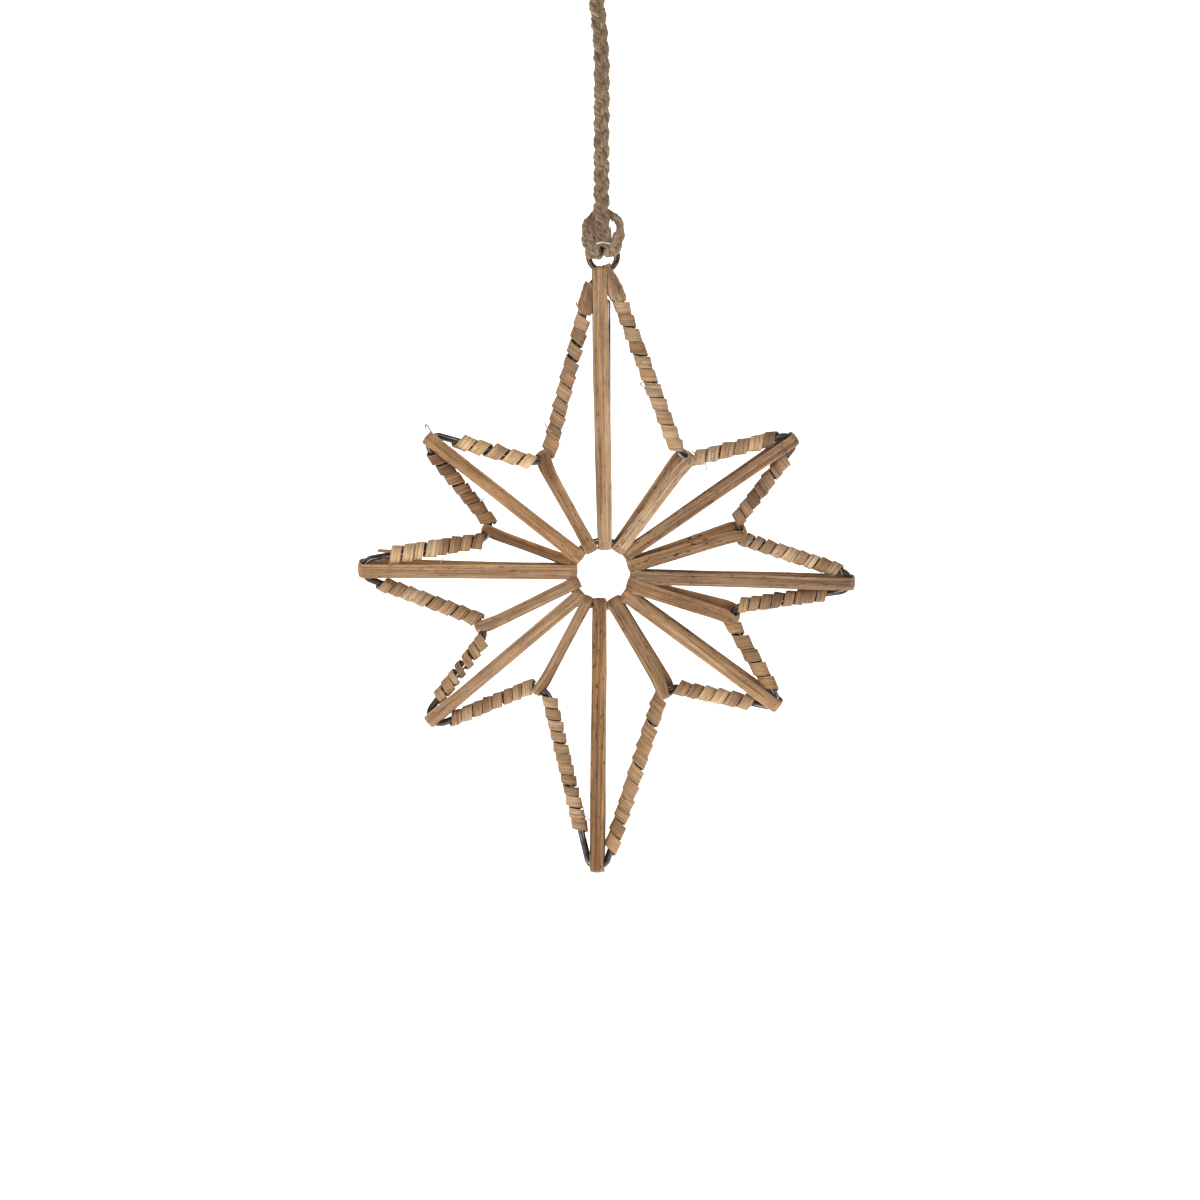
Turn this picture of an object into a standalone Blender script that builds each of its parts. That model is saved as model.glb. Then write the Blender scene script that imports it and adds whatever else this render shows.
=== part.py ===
"""Hanging star ornament: a bent steel wire wrapped and spoked in split cane strip."""

import math

import bmesh
import bpy
from mathutils import Matrix, Vector

# Steel wire frame, in metres

LONGEST_REACH = 0.1319
WIRE_DIAMETER = 0.0028
TIP_BEND_RADIUS = 0.0040
VALLEY_BEND_RADIUS = 0.0065
CENTRE_RING_DIAMETER = 0.0272
ROD_DIAMETER = 0.0026
TOP_ROD_SIDE = 0.0018
BOTTOM_ROD_SIDE = 0.00135
HANGING_RING_DIAMETER = 0.0115
HANGING_RING_WIRE = 0.0025

# Cane strip

STRIP_WIDTH = 0.0050
STRIP_THICKNESS = 0.0006
WRAP_GAP = 0.0005
TOP_STRIP_SIDE = -0.0006

# Cord and its staples

CORD_DIAMETER = 0.0052
HITCH_DIAMETER = 0.0037
CORD_DROP = 0.1445
STAPLE_WIRE = 0.0006
STAPLE_CROWN = 0.0048
STAPLE_LEG = 0.0030
STAPLE_SIDE = 0.0001
STAPLE_HEIGHT = 0.0063
STAPLE_FRONT = 0.0052
LOOP_STAPLE_HEIGHT = -0.0350
LOOP_NECK = 0.0034

# Clearance between parts that touch or are welded on the real ornament

FIT = 0.0003

# How finely the round shapes are cut

TIP_BEND_STEPS = 4
VALLEY_BEND_STEPS = 3
WRAP_SIDES = 6
LOOP_END_STEPS = 4
RING_SEGMENTS = 28
SMALL_RING_SEGMENTS = 20
WIRE_SIDES = 8
EDGE_STEPS = 12
ROUTE_SAMPLES = 16
CORD_STEP = 2 * CORD_DIAMETER
HITCH_STEP = HITCH_DIAMETER

# The bent corners of the star, clockwise from the top. Each has its angle in degrees, the
# reach from the centre to where its straight legs would meet, as a share of the longest, and
# the angle at which its spoke strip rounds the centre ring. The last four are shares of the
# strip width: this strip's own width, how far its front run is laid to one side of its back
# run, and the bare wire before and after a tip.

CORNERS = (
    ("tip_1", 90.2, 0.9879, 87.0, 1.12, 0.04, 0.42, 0.42),
    ("valley_1", 55.0, 0.4261, 59.2, 0.98, 0.44, 0.00, 0.00),
    ("tip_2", 35.4, 0.7779, 39.9, 0.96, 0.10, 0.18, 0.04),
    ("valley_2", 18.2, 0.4033, 17.9, 0.98, 0.34, 0.00, 0.00),
    ("tip_3", -2.3, 0.8650, -4.8, 1.05, 0.08, 0.26, 0.80),
    ("valley_3", -15.4, 0.4049, -20.0, 1.00, 0.32, 0.00, 0.00),
    ("tip_4", -37.0, 0.7134, -40.6, 1.00, 0.08, 0.10, 0.26),
    ("valley_4", -61.2, 0.3950, -66.8, 1.08, 0.18, 0.00, 0.00),
    ("tip_5", -91.2, 1.0000, -95.8, 1.10, 0.08, 0.58, 1.98),
    ("valley_5", -118.2, 0.3783, -119.5, 0.88, 0.10, 0.00, 0.00),
    ("tip_6", -139.7, 0.7824, -136.7, 1.00, 0.10, 0.68, 0.48),
    ("valley_6", -154.8, 0.3730, -160.6, 0.96, 0.10, 0.00, 0.00),
    ("tip_7", 178.1, 0.8287, 175.2, 1.08, 0.08, 0.94, 1.34),
    ("valley_7", 159.8, 0.3328, 158.9, 0.76, 0.12, 0.00, 0.00),
    ("tip_8", 143.5, 0.7430, 143.5, 0.98, 0.08, 0.12, 0.66),
    ("valley_8", 117.9, 0.3798, 115.9, 0.92, 0.10, 0.00, 0.00),
)

# Turns of strip on each leg, in the same order, negative where they lean the other way

LEG_TURNS = (11, 7, -7, -8, -7, 5, 5, -12, -10, 9, 6, 8, 9, 7, 7, -13)

# Hand-chosen route of the cord, from the hitch up and round the hanging loop, as sideways,
# height and depth: the first points are measured from the middle of the hanging ring, the
# last from the point in the loop that a hook or nail bears on.

CORD_FROM_RING = (
    (0.0001, 0.0079, 0.0042),
    (0.0000, 0.0114, 0.0036),
    (-0.0004, 0.0155, 0.0022),
    (-0.0006, 0.0205, 0.0008),
    (-0.0006, 0.0270, 0.0),
    (-0.0006, 0.0500, 0.0),
    (-0.0006, 0.0800, 0.0),
)
CORD_TO_LOOP = (
    (-0.0026, -0.0400, 0.0),
    (-LOOP_NECK, -0.0340, 0.0),
    (-0.0062, -0.0265, 0.0),
    (-0.0106, -0.0178, 0.0),
    (-0.0128, -0.0096, 0.0),
    (-0.0106, -0.0028, 0.0),
    (-0.0056, 0.0016, 0.0),
    (0.0, 0.0029, 0.0),
    (0.0056, 0.0016, 0.0),
    (0.0106, -0.0028, 0.0),
    (0.0128, -0.0096, 0.0),
    (0.0106, -0.0178, 0.0),
    (0.0062, -0.0265, 0.0),
    (LOOP_NECK, -0.0340, 0.0),
    (0.0032, -0.0372, 0.0),
)

# Hand-chosen route of the hitch through the hanging ring, from the middle of the ring

HITCH_ROUTE = (
    (0.0022, 0.0024, 0.0038),
    (0.0046, 0.0038, 0.0038),
    (0.0064, 0.0072, 0.0024),
    (0.0070, 0.0112, 0.0006),
    (0.0056, 0.0152, -0.0018),
    (0.0022, 0.0176, -0.0036),
    (-0.0022, 0.0176, -0.0036),
    (-0.0060, 0.0154, -0.0016),
    (-0.0074, 0.0108, 0.0014),
    (-0.0066, 0.0064, 0.0034),
    (-0.0048, 0.0030, 0.0041),
    (-0.0030, 0.0014, 0.0026),
    (-0.0016, 0.0008, -0.0006),
    (-0.0008, 0.0024, -0.0034),
    (-0.0004, 0.0060, -0.0040),
    (0.0, 0.0098, -0.0040),
)

# Sizes that follow from the ones above

WIRE_RADIUS = WIRE_DIAMETER / 2
ROD_RADIUS = ROD_DIAMETER / 2
CENTRE_RING_RADIUS = CENTRE_RING_DIAMETER / 2
HANGING_RING_RADIUS = HANGING_RING_DIAMETER / 2
HANGING_WIRE_RADIUS = HANGING_RING_WIRE / 2
WRAP_INNER = (WIRE_RADIUS + FIT) / math.cos(math.pi / WRAP_SIDES)
WRAP_OUTER = WRAP_INNER + STRIP_THICKNESS
OVER_WRAPS = WRAP_OUTER + FIT
OVER_WIRE = WIRE_RADIUS + FIT
OVER_HANGING_WIRE = HANGING_WIRE_RADIUS + FIT
COUNT = len(CORNERS)


def sag(radius, reach):
    """How far a circle falls away from its tangent at a distance along it."""
    return radius - math.sqrt(max(radius**2 - min(reach, radius) ** 2, 0.0))


def polar(angle, reach):
    """A point of the star's plane, by its angle in degrees and its reach from the centre."""
    turn = math.radians(angle)
    return Vector((reach * math.cos(turn), reach * math.sin(turn)))


def side_of(direction):
    """The direction a quarter turn anticlockwise of another."""
    return Vector((-direction.y, direction.x))


class Corner:
    """One bend of the star wire, between two straight legs."""

    def __init__(self, place):
        name, angle, reach, ring_angle, share, lean, before, after = CORNERS[place]
        self.place = place
        self.name = name
        self.is_tip = name.startswith("tip")
        self.sharp = polar(angle, reach * LONGEST_REACH)
        self.on_ring = polar(ring_angle, CENTRE_RING_RADIUS)
        self.width = share * STRIP_WIDTH
        self.lean = lean * STRIP_WIDTH
        self.bare = (before * STRIP_WIDTH, after * STRIP_WIDTH)
        self.radius = TIP_BEND_RADIUS if self.is_tip else VALLEY_BEND_RADIUS
        neighbours = (CORNERS[place - 1], CORNERS[(place + 1) % COUNT])
        self.legs = [(polar(row[1], row[2] * LONGEST_REACH) - self.sharp).normalized() for row in neighbours]
        self.half_angle = self.legs[0].angle(self.legs[1]) / 2
        self.inward = (self.legs[0] + self.legs[1]).normalized()
        self.tangent = self.radius / math.tan(self.half_angle)
        self.bend_centre = self.sharp + self.inward * (self.radius / math.sin(self.half_angle))
        self.crest = self.bend_centre - self.inward * self.radius
        self.strip_end = self.crest
        if place == 0:
            above = WIRE_RADIUS + FIT + HANGING_WIRE_RADIUS
            self.strip_end = Vector((TOP_STRIP_SIDE, self.crest.y + above))
        self.along = (self.strip_end - self.on_ring).normalized()
        self.across = side_of(self.along)

    def bend(self):
        """The points of the wire round this bend."""
        start = self.sharp + self.legs[0] * self.tangent - self.bend_centre
        end = self.sharp + self.legs[1] * self.tangent - self.bend_centre
        sweep = start.angle_signed(end)
        steps = TIP_BEND_STEPS if self.is_tip else VALLEY_BEND_STEPS
        turns = [Matrix.Rotation(-sweep * k / steps, 2) for k in range(steps + 1)]
        return [self.bend_centre + turn @ start for turn in turns]

    def wrap_start(self, side):
        """Distance from the sharp corner at which the strip starts on a leg."""
        if self.is_tip:
            return self.tangent + self.bare[side]
        leaving = self.legs[side].angle(self.along)
        clear = self.width / 2 + self.lean + FIT + WRAP_OUTER * math.cos(leaving)
        return max(clear / math.sin(leaving), self.tangent)

    def ring_reach(self):
        """How far the strip goes past the middle of the centre ring's wire, to clear the ring."""
        half = self.width / 2
        reach = OVER_WIRE + sag(CENTRE_RING_RADIUS, half) + half * math.tan(self.along.angle(self.on_ring))
        if self.is_tip:
            return reach
        reach += STRIP_THICKNESS + FIT
        for other in (corners[self.place - 1], corners[(self.place + 1) % COUNT]):
            past = other.on_ring - other.along * (other.ring_reach() + STRIP_THICKNESS) - self.on_ring
            for step in range(EDGE_STEPS + 1):
                point = past + other.across * other.width * (step / EDGE_STEPS - 0.5)
                if abs(point.dot(self.across)) < half + FIT:
                    reach = max(reach, STRIP_THICKNESS - point.dot(self.along))
        return reach + FIT

    def bend_reach(self):
        """How far the strip goes past the crest of a bend, to clear the wire as it curves away."""
        if self.place == 0:
            edge = self.width / 2 + self.lean - TOP_STRIP_SIDE
            return HANGING_RING_RADIUS - math.sqrt((HANGING_RING_RADIUS - OVER_HANGING_WIRE) ** 2 - edge**2)
        if self.is_tip:
            return OVER_WIRE
        reach = OVER_WIRE
        edge = self.width / 2 + self.lean
        for leg in self.legs:
            inside = self.inward - leg * self.inward.dot(leg)
            start = self.sharp + leg * self.tangent + inside.normalized() * OVER_WIRE
            arc = start - self.bend_centre
            sweep = arc.angle_signed(self.crest - self.bend_centre)
            for step in range(EDGE_STEPS + 1):
                turned = self.bend_centre + Matrix.Rotation(-sweep * step / EDGE_STEPS, 2) @ arc
                straight = start + leg * (self.width * step / EDGE_STEPS)
                for point in (turned - self.crest, straight - self.crest):
                    if abs(point.dot(self.across)) < edge:
                        reach = max(reach, point.dot(self.along))
        return reach


corners = [Corner(place) for place in range(COUNT)]
top = corners[0]
bottom = corners[COUNT // 2]

# The hanging ring is welded on the top bend, and the star hangs below the loop of the cord.

RING_HEIGHT = -CORD_DROP
TOP_CREST_HEIGHT = RING_HEIGHT - HANGING_RING_RADIUS - HANGING_WIRE_RADIUS - FIT - WIRE_RADIUS
STAR_CENTRE = Vector((0.0, TOP_CREST_HEIGHT - top.crest.y))


def clear_scene():
    for item in list(bpy.data.objects):
        bpy.data.objects.remove(item, do_unlink=True)


def make_material(name, colour, roughness, metallic):
    material = bpy.data.materials.new(name)
    material.use_nodes = True
    shader = material.node_tree.nodes["Principled BSDF"]
    shader.inputs["Base Color"].default_value = (*colour, 1.0)
    shader.inputs["Roughness"].default_value = roughness
    shader.inputs["Metallic"].default_value = metallic
    return material


def add_part(name, data, material, place=(0.0, 0.0, 0.0), turn=None):
    """An object in the ornament's collection, placed in the plane of the star."""
    item = bpy.data.objects.new(name, data)
    collection.objects.link(item)
    item.parent = plane
    item.location = place
    item.rotation_mode = "QUATERNION"
    if turn:
        item.rotation_quaternion = turn
    data.materials.clear()
    data.materials.append(material)
    return item


def flat(point, depth=0.0):
    """A point of the star's plane, seen from the middle of the star, at a depth towards the viewer."""
    return Vector((point.x + STAR_CENTRE.x, point.y + STAR_CENTRE.y, depth))


def wire_part(name, points, radius, material, cyclic=False, resolution=2):
    """A round wire along a list of points."""
    curve = bpy.data.curves.new(name, "CURVE")
    curve.dimensions = "3D"
    curve.twist_mode = "Z_UP"
    curve.bevel_depth = radius
    curve.bevel_resolution = resolution
    curve.use_fill_caps = not cyclic
    spline = curve.splines.new("POLY")
    spline.points.add(len(points) - 1)
    for slot, point in zip(spline.points, points):
        slot.co = (*point, 1.0)
    spline.use_cyclic_u = cyclic
    return add_part(name, curve, material)


def ring_part(name, radius, wire_radius, segments, centre, material):
    """A closed wire ring lying in the plane of the star."""
    bpy.ops.mesh.primitive_torus_add(
        major_radius=radius,
        minor_radius=wire_radius,
        major_segments=segments,
        minor_segments=WIRE_SIDES,
    )
    made = bpy.context.object
    mesh = made.data
    bpy.data.objects.remove(made, do_unlink=True)
    mesh.shade_smooth()
    return add_part(name, mesh, material, centre)


def make_star_wire(material):
    points = [flat(point) for corner in corners for point in corner.bend()]
    wire_part("star_wire", points, WIRE_RADIUS, material, cyclic=True)


def make_rings(material):
    ring_part("centre_ring", CENTRE_RING_RADIUS, WIRE_RADIUS, RING_SEGMENTS, flat(Vector((0, 0))), material)
    place = (0.0, RING_HEIGHT, 0.0)
    ring_part(
        "hanging_ring", HANGING_RING_RADIUS, HANGING_WIRE_RADIUS, SMALL_RING_SEGMENTS, place, material
    )


def make_rod(name, corner, beside, thick, material):
    """A rod from the centre ring up between the legs of a tip, to one side of the middle."""
    from_sharp = (thick + ROD_RADIUS + FIT) / math.sin(corner.half_angle)
    from_sharp += beside / math.tan(corner.half_angle)
    end = corner.sharp + corner.inward * from_sharp + side_of(corner.inward) * beside
    start = end.normalized() * (CENTRE_RING_RADIUS + WIRE_RADIUS + FIT)
    length = (end - start).length
    bpy.ops.mesh.primitive_cylinder_add(vertices=WIRE_SIDES, radius=ROD_RADIUS, depth=length)
    made = bpy.context.object
    mesh = made.data
    bpy.data.objects.remove(made, do_unlink=True)
    turn = Vector((*(end - start), 0.0)).to_track_quat("Z", "Y")
    add_part(name, mesh, material, flat((start + end) / 2), turn)


def make_leg_wrap(number, material):
    """The strip wound round one straight leg of the star wire."""
    before = corners[number]
    after = corners[(number + 1) % COUNT]
    start = before.wrap_start(1)
    end = (after.sharp - before.sharp).length - after.wrap_start(0)
    turns = abs(LEG_TURNS[number])
    pitch = (end - start) / (turns + 1)
    width = pitch - WRAP_GAP
    lean = math.copysign(1.0, LEG_TURNS[number])
    bm = bmesh.new()
    corners_of_section = ((0.0, WRAP_INNER), (width, WRAP_INNER), (width, WRAP_OUTER), (0.0, WRAP_OUTER))
    section = bm.faces.new([bm.verts.new((radius, 0.0, along)) for along, radius in corners_of_section])
    bmesh.ops.spin(
        bm,
        geom=[section, *section.edges, *section.verts],
        cent=(0.0, 0.0, 0.0),
        axis=(0.0, 0.0, lean),
        dvec=(0.0, 0.0, pitch / WRAP_SIDES),
        angle=math.tau * turns,
        steps=turns * WRAP_SIDES,
    )
    bmesh.ops.recalc_face_normals(bm, faces=bm.faces)
    mesh = bpy.data.meshes.new(f"leg_wrap_{number + 1}")
    bm.to_mesh(mesh)
    bm.free()
    along_leg = before.legs[1]
    turn = Vector((*along_leg, 0.0)).to_track_quat("Z", "Y")
    add_part(mesh.name, mesh, material, flat(before.sharp + along_leg * start), turn)


def loop_outline(length, inner_end, outer_end, knee):
    """A strip looped round two wires, seen from its edge. An end is its reach and its depth."""
    outline = []
    for step in range(LOOP_END_STEPS + 1):
        angle = math.pi * (step / LOOP_END_STEPS - 0.5)
        outline.append((length + outer_end[0] * math.cos(angle), outer_end[1] * math.sin(angle)))
    outline.append((knee, outer_end[1]))
    for step in range(LOOP_END_STEPS + 1):
        angle = math.pi * (step / LOOP_END_STEPS + 0.5)
        outline.append((inner_end[0] * math.cos(angle), inner_end[1] * math.sin(angle)))
    outline.append((knee, -outer_end[1]))
    return outline


def make_spoke(corner, material):
    """The strip that loops from the centre ring to one bend of the star wire and back."""
    length = (corner.strip_end - corner.on_ring).length
    half = corner.width / 2
    if corner.is_tip:
        ring_depth = OVER_WIRE
        tucked = half + corner.lean + WRAP_OUTER * math.cos(corner.half_angle) + FIT
        beyond = (corner.sharp - corner.crest).length
        knee = length - max(tucked / math.tan(corner.half_angle) - beyond, STRIP_WIDTH)
    else:
        ring_depth = OVER_WRAPS
        knee = length / 2
    inner_end = (corner.ring_reach(), ring_depth)
    outline = loop_outline(length, inner_end, (corner.bend_reach(), OVER_WRAPS), knee)
    bm = bmesh.new()
    edge = [bm.verts.new((x, -half, z)) for x, z in outline]
    rim = [bm.edges.new(pair) for pair in zip(edge, [*edge[1:], edge[0]])]
    extruded = bmesh.ops.extrude_edge_only(bm, edges=rim)["geom"]
    far_edge = [item for item in extruded if isinstance(item, bmesh.types.BMVert)]
    bmesh.ops.translate(bm, vec=(0.0, corner.width, 0.0), verts=far_edge)
    for vert in bm.verts:
        vert.co.y -= corner.lean * (vert.co.x / length) * (vert.co.z / OVER_WRAPS)
    bmesh.ops.recalc_face_normals(bm, faces=bm.faces)
    mesh = bpy.data.meshes.new(f"spoke_strip_{corner.name}")
    bm.to_mesh(mesh)
    bm.free()
    axes = Matrix.Identity(3)
    axes.col[0].xy = corner.along
    axes.col[1].xy = corner.across
    strip = add_part(mesh.name, mesh, material, flat(corner.on_ring), axes.to_quaternion())
    wall = strip.modifiers.new("thickness", "SOLIDIFY")
    wall.thickness = STRIP_THICKNESS
    wall.offset = 1.0
    wall.use_even_offset = True


def smooth_route(points, step):
    """Points at even steps along a smooth curve through hand-chosen ones."""
    fine = []
    padded = [points[0], *points, points[-1]]
    for before, start, end, after in zip(padded, padded[1:], padded[2:], padded[3:]):
        for k in range(ROUTE_SAMPLES):
            t = k / ROUTE_SAMPLES
            bend = (2 * before - 5 * start + 4 * end - after) * t**2
            twist = (3 * start - before - 3 * end + after) * t**3
            fine.append((2 * start + (end - before) * t + bend + twist) / 2)
    fine.append(points[-1])
    lengths = [0.0]
    for start, end in zip(fine, fine[1:]):
        lengths.append(lengths[-1] + (end - start).length)
    count = max(round(lengths[-1] / step), 1)
    route = []
    place = 0
    for k in range(count + 1):
        wanted = lengths[-1] * k / count
        while place < len(fine) - 2 and lengths[place + 1] < wanted:
            place += 1
        share = (wanted - lengths[place]) / (lengths[place + 1] - lengths[place])
        route.append(fine[place].lerp(fine[place + 1], min(share, 1.0)))
    return route


def from_ring(points):
    return [Vector((x, RING_HEIGHT + height, depth)) for x, height, depth in points]


def make_cord(material):
    """The hitch on the hanging ring, and the cord up from it with its hanging loop."""
    hitch = smooth_route(from_ring(HITCH_ROUTE), HITCH_STEP)
    wire_part("cord_hitch", hitch, HITCH_DIAMETER / 2, material)
    route = from_ring(CORD_FROM_RING) + [Vector(point) for point in CORD_TO_LOOP]
    wire_part("cord", smooth_route(route, CORD_STEP), CORD_DIAMETER / 2, material)


def make_staple(name, crown_middle, crown, material):
    """A wire staple, its two legs pointing back from the crown."""
    side = Vector((crown / 2, 0.0, 0.0))
    leg = Vector((0.0, 0.0, -STAPLE_LEG))
    left = crown_middle - side
    right = crown_middle + side
    wire_part(name, [left + leg, left, right, right + leg], STAPLE_WIRE / 2, material)


def make_staples(material):
    lower = Vector((STAPLE_SIDE, RING_HEIGHT + STAPLE_HEIGHT, STAPLE_FRONT))
    make_staple("staple_hitch", lower, STAPLE_CROWN, material)
    round_cord = CORD_DIAMETER + STAPLE_WIRE + 4 * FIT
    upper = Vector((0.0, LOOP_STAPLE_HEIGHT, round_cord / 2))
    make_staple("staple_loop", upper, 2 * LOOP_NECK + round_cord, material)


clear_scene()
collection = bpy.data.collections.new("woven_star_ornament")
bpy.context.scene.collection.children.link(collection)
plane = bpy.data.objects.new("star_plane", None)
plane.rotation_euler = (math.pi / 2, 0.0, 0.0)
collection.objects.link(plane)

steel = make_material("steel_wire", (0.055, 0.050, 0.047), 0.35, 1.0)
cane = make_material("split_cane", (0.42, 0.27, 0.14), 0.6, 0.0)
jute = make_material("jute", (0.32, 0.22, 0.13), 0.9, 0.0)
bright_steel = make_material("staple_steel", (0.55, 0.55, 0.52), 0.25, 1.0)

make_star_wire(steel)
make_rings(steel)
make_rod("rod_top", top, TOP_ROD_SIDE, WRAP_OUTER, steel)
make_rod("rod_bottom", bottom, BOTTOM_ROD_SIDE, WIRE_RADIUS, steel)
for number in range(COUNT):
    make_leg_wrap(number, cane)
    make_spoke(corners[number], cane)
make_cord(jute)
make_staples(bright_steel)
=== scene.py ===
"""Hanging star ornament: split cane on a bent steel wire, hung on a braided jute cord."""

import math
import random

import bmesh
import bpy
from mathutils import Matrix, Vector, noise


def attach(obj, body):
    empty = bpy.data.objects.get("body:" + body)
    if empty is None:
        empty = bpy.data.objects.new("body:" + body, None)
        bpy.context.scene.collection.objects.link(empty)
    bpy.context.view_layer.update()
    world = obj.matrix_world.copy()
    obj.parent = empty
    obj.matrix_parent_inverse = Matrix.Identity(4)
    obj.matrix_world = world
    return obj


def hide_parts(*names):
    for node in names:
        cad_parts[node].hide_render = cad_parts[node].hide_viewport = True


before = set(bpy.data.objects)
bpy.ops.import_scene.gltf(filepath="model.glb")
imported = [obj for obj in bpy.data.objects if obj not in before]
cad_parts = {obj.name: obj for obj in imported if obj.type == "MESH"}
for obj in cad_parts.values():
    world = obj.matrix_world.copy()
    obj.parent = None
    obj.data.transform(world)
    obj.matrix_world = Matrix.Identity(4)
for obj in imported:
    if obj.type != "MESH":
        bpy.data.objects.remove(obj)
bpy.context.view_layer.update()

bl_info = {
    "name": "Woven star ornament",
    "version": (1, 0, 0),
    "blender": (4, 5, 0),
    "location": "View3D > Sidebar > Ornament",
    "description": "Makes the cane, steel and jute pieces of a hanging star, and its stage",
    "category": "Object",
}

MM = 0.001
FRONT = Vector((0.0, -1.0, 0.0))
MERGE_DISTANCE = 1e-6

# How finely the pieces are made: steps round a bend, round a ring and along the cord's path,
# faces of a wrap to a turn and across, and of a spoke along a run, round an end and across

BEND_STEPS, RING_STEPS, PATH_STEPS = 14, 64, 120
WRAP_ROWS, WRAP_COLUMNS = 24, 8
RUN_ROWS, HALF_TURN_ROWS, SPOKE_COLUMNS = 30, 10, 16

# A wrap's usual width, the share of a turn that its end runs past its leg's, the share of a
# turn in which its looks change to the next one's, and the frayed fibres on each leg

WRAP_WIDTH = 5.2 * MM
OVERRUN = 0.35
CHANGE = 0.3
FRAYS = 7

# Heights of the middle of the hanging ring and of the middle of the star

RING_HEIGHT = -144.5 * MM
STAR_HEIGHT = -274.4 * MM

# The bent corners of the star, clockwise from the top, in degrees and millimetres: name, angle
# and reach of the sharp corner, bend radius, angle at which the spoke rounds the centre ring,
# strip width, sideways lay of the front run at the bend and at the ring, bare wire before and
# after a tip, and the layer in which the strip laps its neighbours at the ring.

CORNERS = (
    ("tip_1", 90.5, 132.6, 5.0, 87.0, 5.6, 0.2, 0.2, 10.4, 3.6, 2),
    ("valley_1", 55.2, 56.1, 7.0, 59.2, 4.9, 1.8, 0.5, 0.0, 0.0, 1),
    ("tip_2", 35.4, 101.8, 3.6, 39.9, 4.9, 0.5, 0.1, 1.3, 0.2, 0),
    ("valley_2", 18.2, 53.2, 7.0, 17.9, 4.9, 1.5, 0.4, -1.8, 0.0, 1),
    ("tip_3", -2.3, 114.8, 4.2, -4.8, 5.3, 0.4, 0.2, 0.7, 3.4, 0),
    ("valley_3", -15.9, 50.9, 6.0, -20.0, 5.5, 1.5, 0.3, -3.0, 0.0, 1),
    ("tip_4", -37.0, 92.9, 3.2, -40.6, 5.5, 0.4, 0.2, 1.9, 3.0, 0),
    ("valley_4", -61.2, 52.1, 7.0, -66.8, 5.6, 0.9, 0.3, 0.0, 0.0, 1),
    ("tip_5", -91.2, 132.4, 4.2, -95.8, 5.5, 0.4, -0.3, 2.9, 9.9, 2),
    ("valley_5", -118.2, 49.9, 7.0, -119.5, 4.1, 0.5, 0.2, 0.0, 0.0, 1),
    ("tip_6", -139.7, 103.8, 4.2, -136.7, 5.4, 0.5, 0.2, 2.9, 2.0, 0),
    ("valley_6", -154.8, 49.2, 7.0, -160.6, 4.9, 0.5, 0.3, 0.0, 0.0, 2),
    ("tip_7", 178.1, 111.0, 4.6, 175.2, 5.6, -0.9, -0.1, 2.6, 4.6, 1),
    ("valley_7", 159.8, 43.9, 6.0, 158.9, 3.9, 0.8, 0.4, 0.0, 0.0, 0),
    ("tip_8", 142.4, 97.8, 3.7, 143.5, 5.6, 0.4, 0.2, 1.3, 4.0, 1),
    ("valley_8", 117.9, 50.1, 7.0, 115.9, 5.0, 0.5, 0.2, -1.0, 0.0, 2),
)
COUNT = len(CORNERS)

# Width of a strip at the ring, half way and at the bend, as shares of its own width

WIDTHS = {"tip_1": (0.96, 1.16, 1.0), "tip_5": (0.94, 1.13, 1.0)}
USUAL_WIDTHS = (1.07, 1.0, 1.0)

# How far the front run of a valley's strip is carried along the next leg at its fold, and how
# much fuller the turns of a leg are at its start, in millimetres

FOLDS = {"valley_8": 2.8}
USUAL_FOLD = 1.6
FULLER = {4: 0.15, 6: 0.25, 12: 0.6}

# Each leg's turns of strip, which all lean one way, then its gaps between turns in millimetres
# as number of the turn and gap, its colour, from 0 dark to 1 cream with its warmth, and any
# turn of another colour, with its bark.

LEGS = (
    (11, {4: 0.9, 7: 0.8}, 0.58, 0.0, {0: (0.62, 0.1, 0.3), 4: (0.60, 0.0, 0.9)}),
    (6, {3: 0.6, 5: 0.9}, 0.56, 0.0, {5: (0.14, -0.9, 0.9)}),
    (7, {2: 0.6, 5: 0.7}, 0.32, 0.0, {}),
    (9, {3: 0.6, 6: 0.5}, 0.55, 0.1, {0: (0.40, -0.3, 0.9), 1: (0.42, -0.2, 0.5)}),
    (8, {2: 0.7, 5: 0.5}, 0.38, 0.1, {}),
    (5, {2: 0.8}, 0.38, 0.7, {0: (0.46, 0.5, 0.7)}),
    (6, {1: 0.7, 4: 0.9}, 0.48, 0.4, {}),
    (11, {2: 0.6, 7: 0.5}, 0.45, 0.3, {0: (0.30, 1.0, 0.5)}),
    (12, {3: 0.7, 8: 0.9}, 0.46, 0.2, {4: (0.30, 0.3, 0.9)}),
    (8, {2: 0.5, 5: 0.7}, 0.46, 0.3, {}),
    (7, {2: 1.3, 3: 1.6, 4: 1.5, 5: 1.2}, 0.50, 0.2, {}),
    (8, {1: 0.7, 3: 0.8, 6: 0.8}, 0.54, 0.3, {}),
    (8, {1: 0.6, 2: 0.9, 6: 0.6}, 0.44, 0.8, {
        0: (0.84, 0.4, 0.0), 1: (0.88, 0.3, 0.0), 2: (0.90, 0.3, 0.1), 3: (0.86, 0.2, 0.1),
        7: (0.26, 0.6, 0.6),
    }),
    (7, {2: 0.7, 3: 0.9, 5: 0.8}, 0.24, 0.9, {}),
    (5, {1: 1.1, 2: 1.3, 3: 1.2, 4: 1.4}, 0.92, 0.6, {}),
    (10, {1: 0.6, 6: 0.9, 7: 1.1, 8: 1.2}, 0.38, 0.2, {}),
)

# Each spoke's colour, in the order of the corners: 0 dark to 1 cream, warmth, streaks of bark,
# and dark ends at the wire, then its lengthwise stripes as from and to across the strip, from
# -1 at its clockwise edge to 1, with their change in lightness and warmth.

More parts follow.
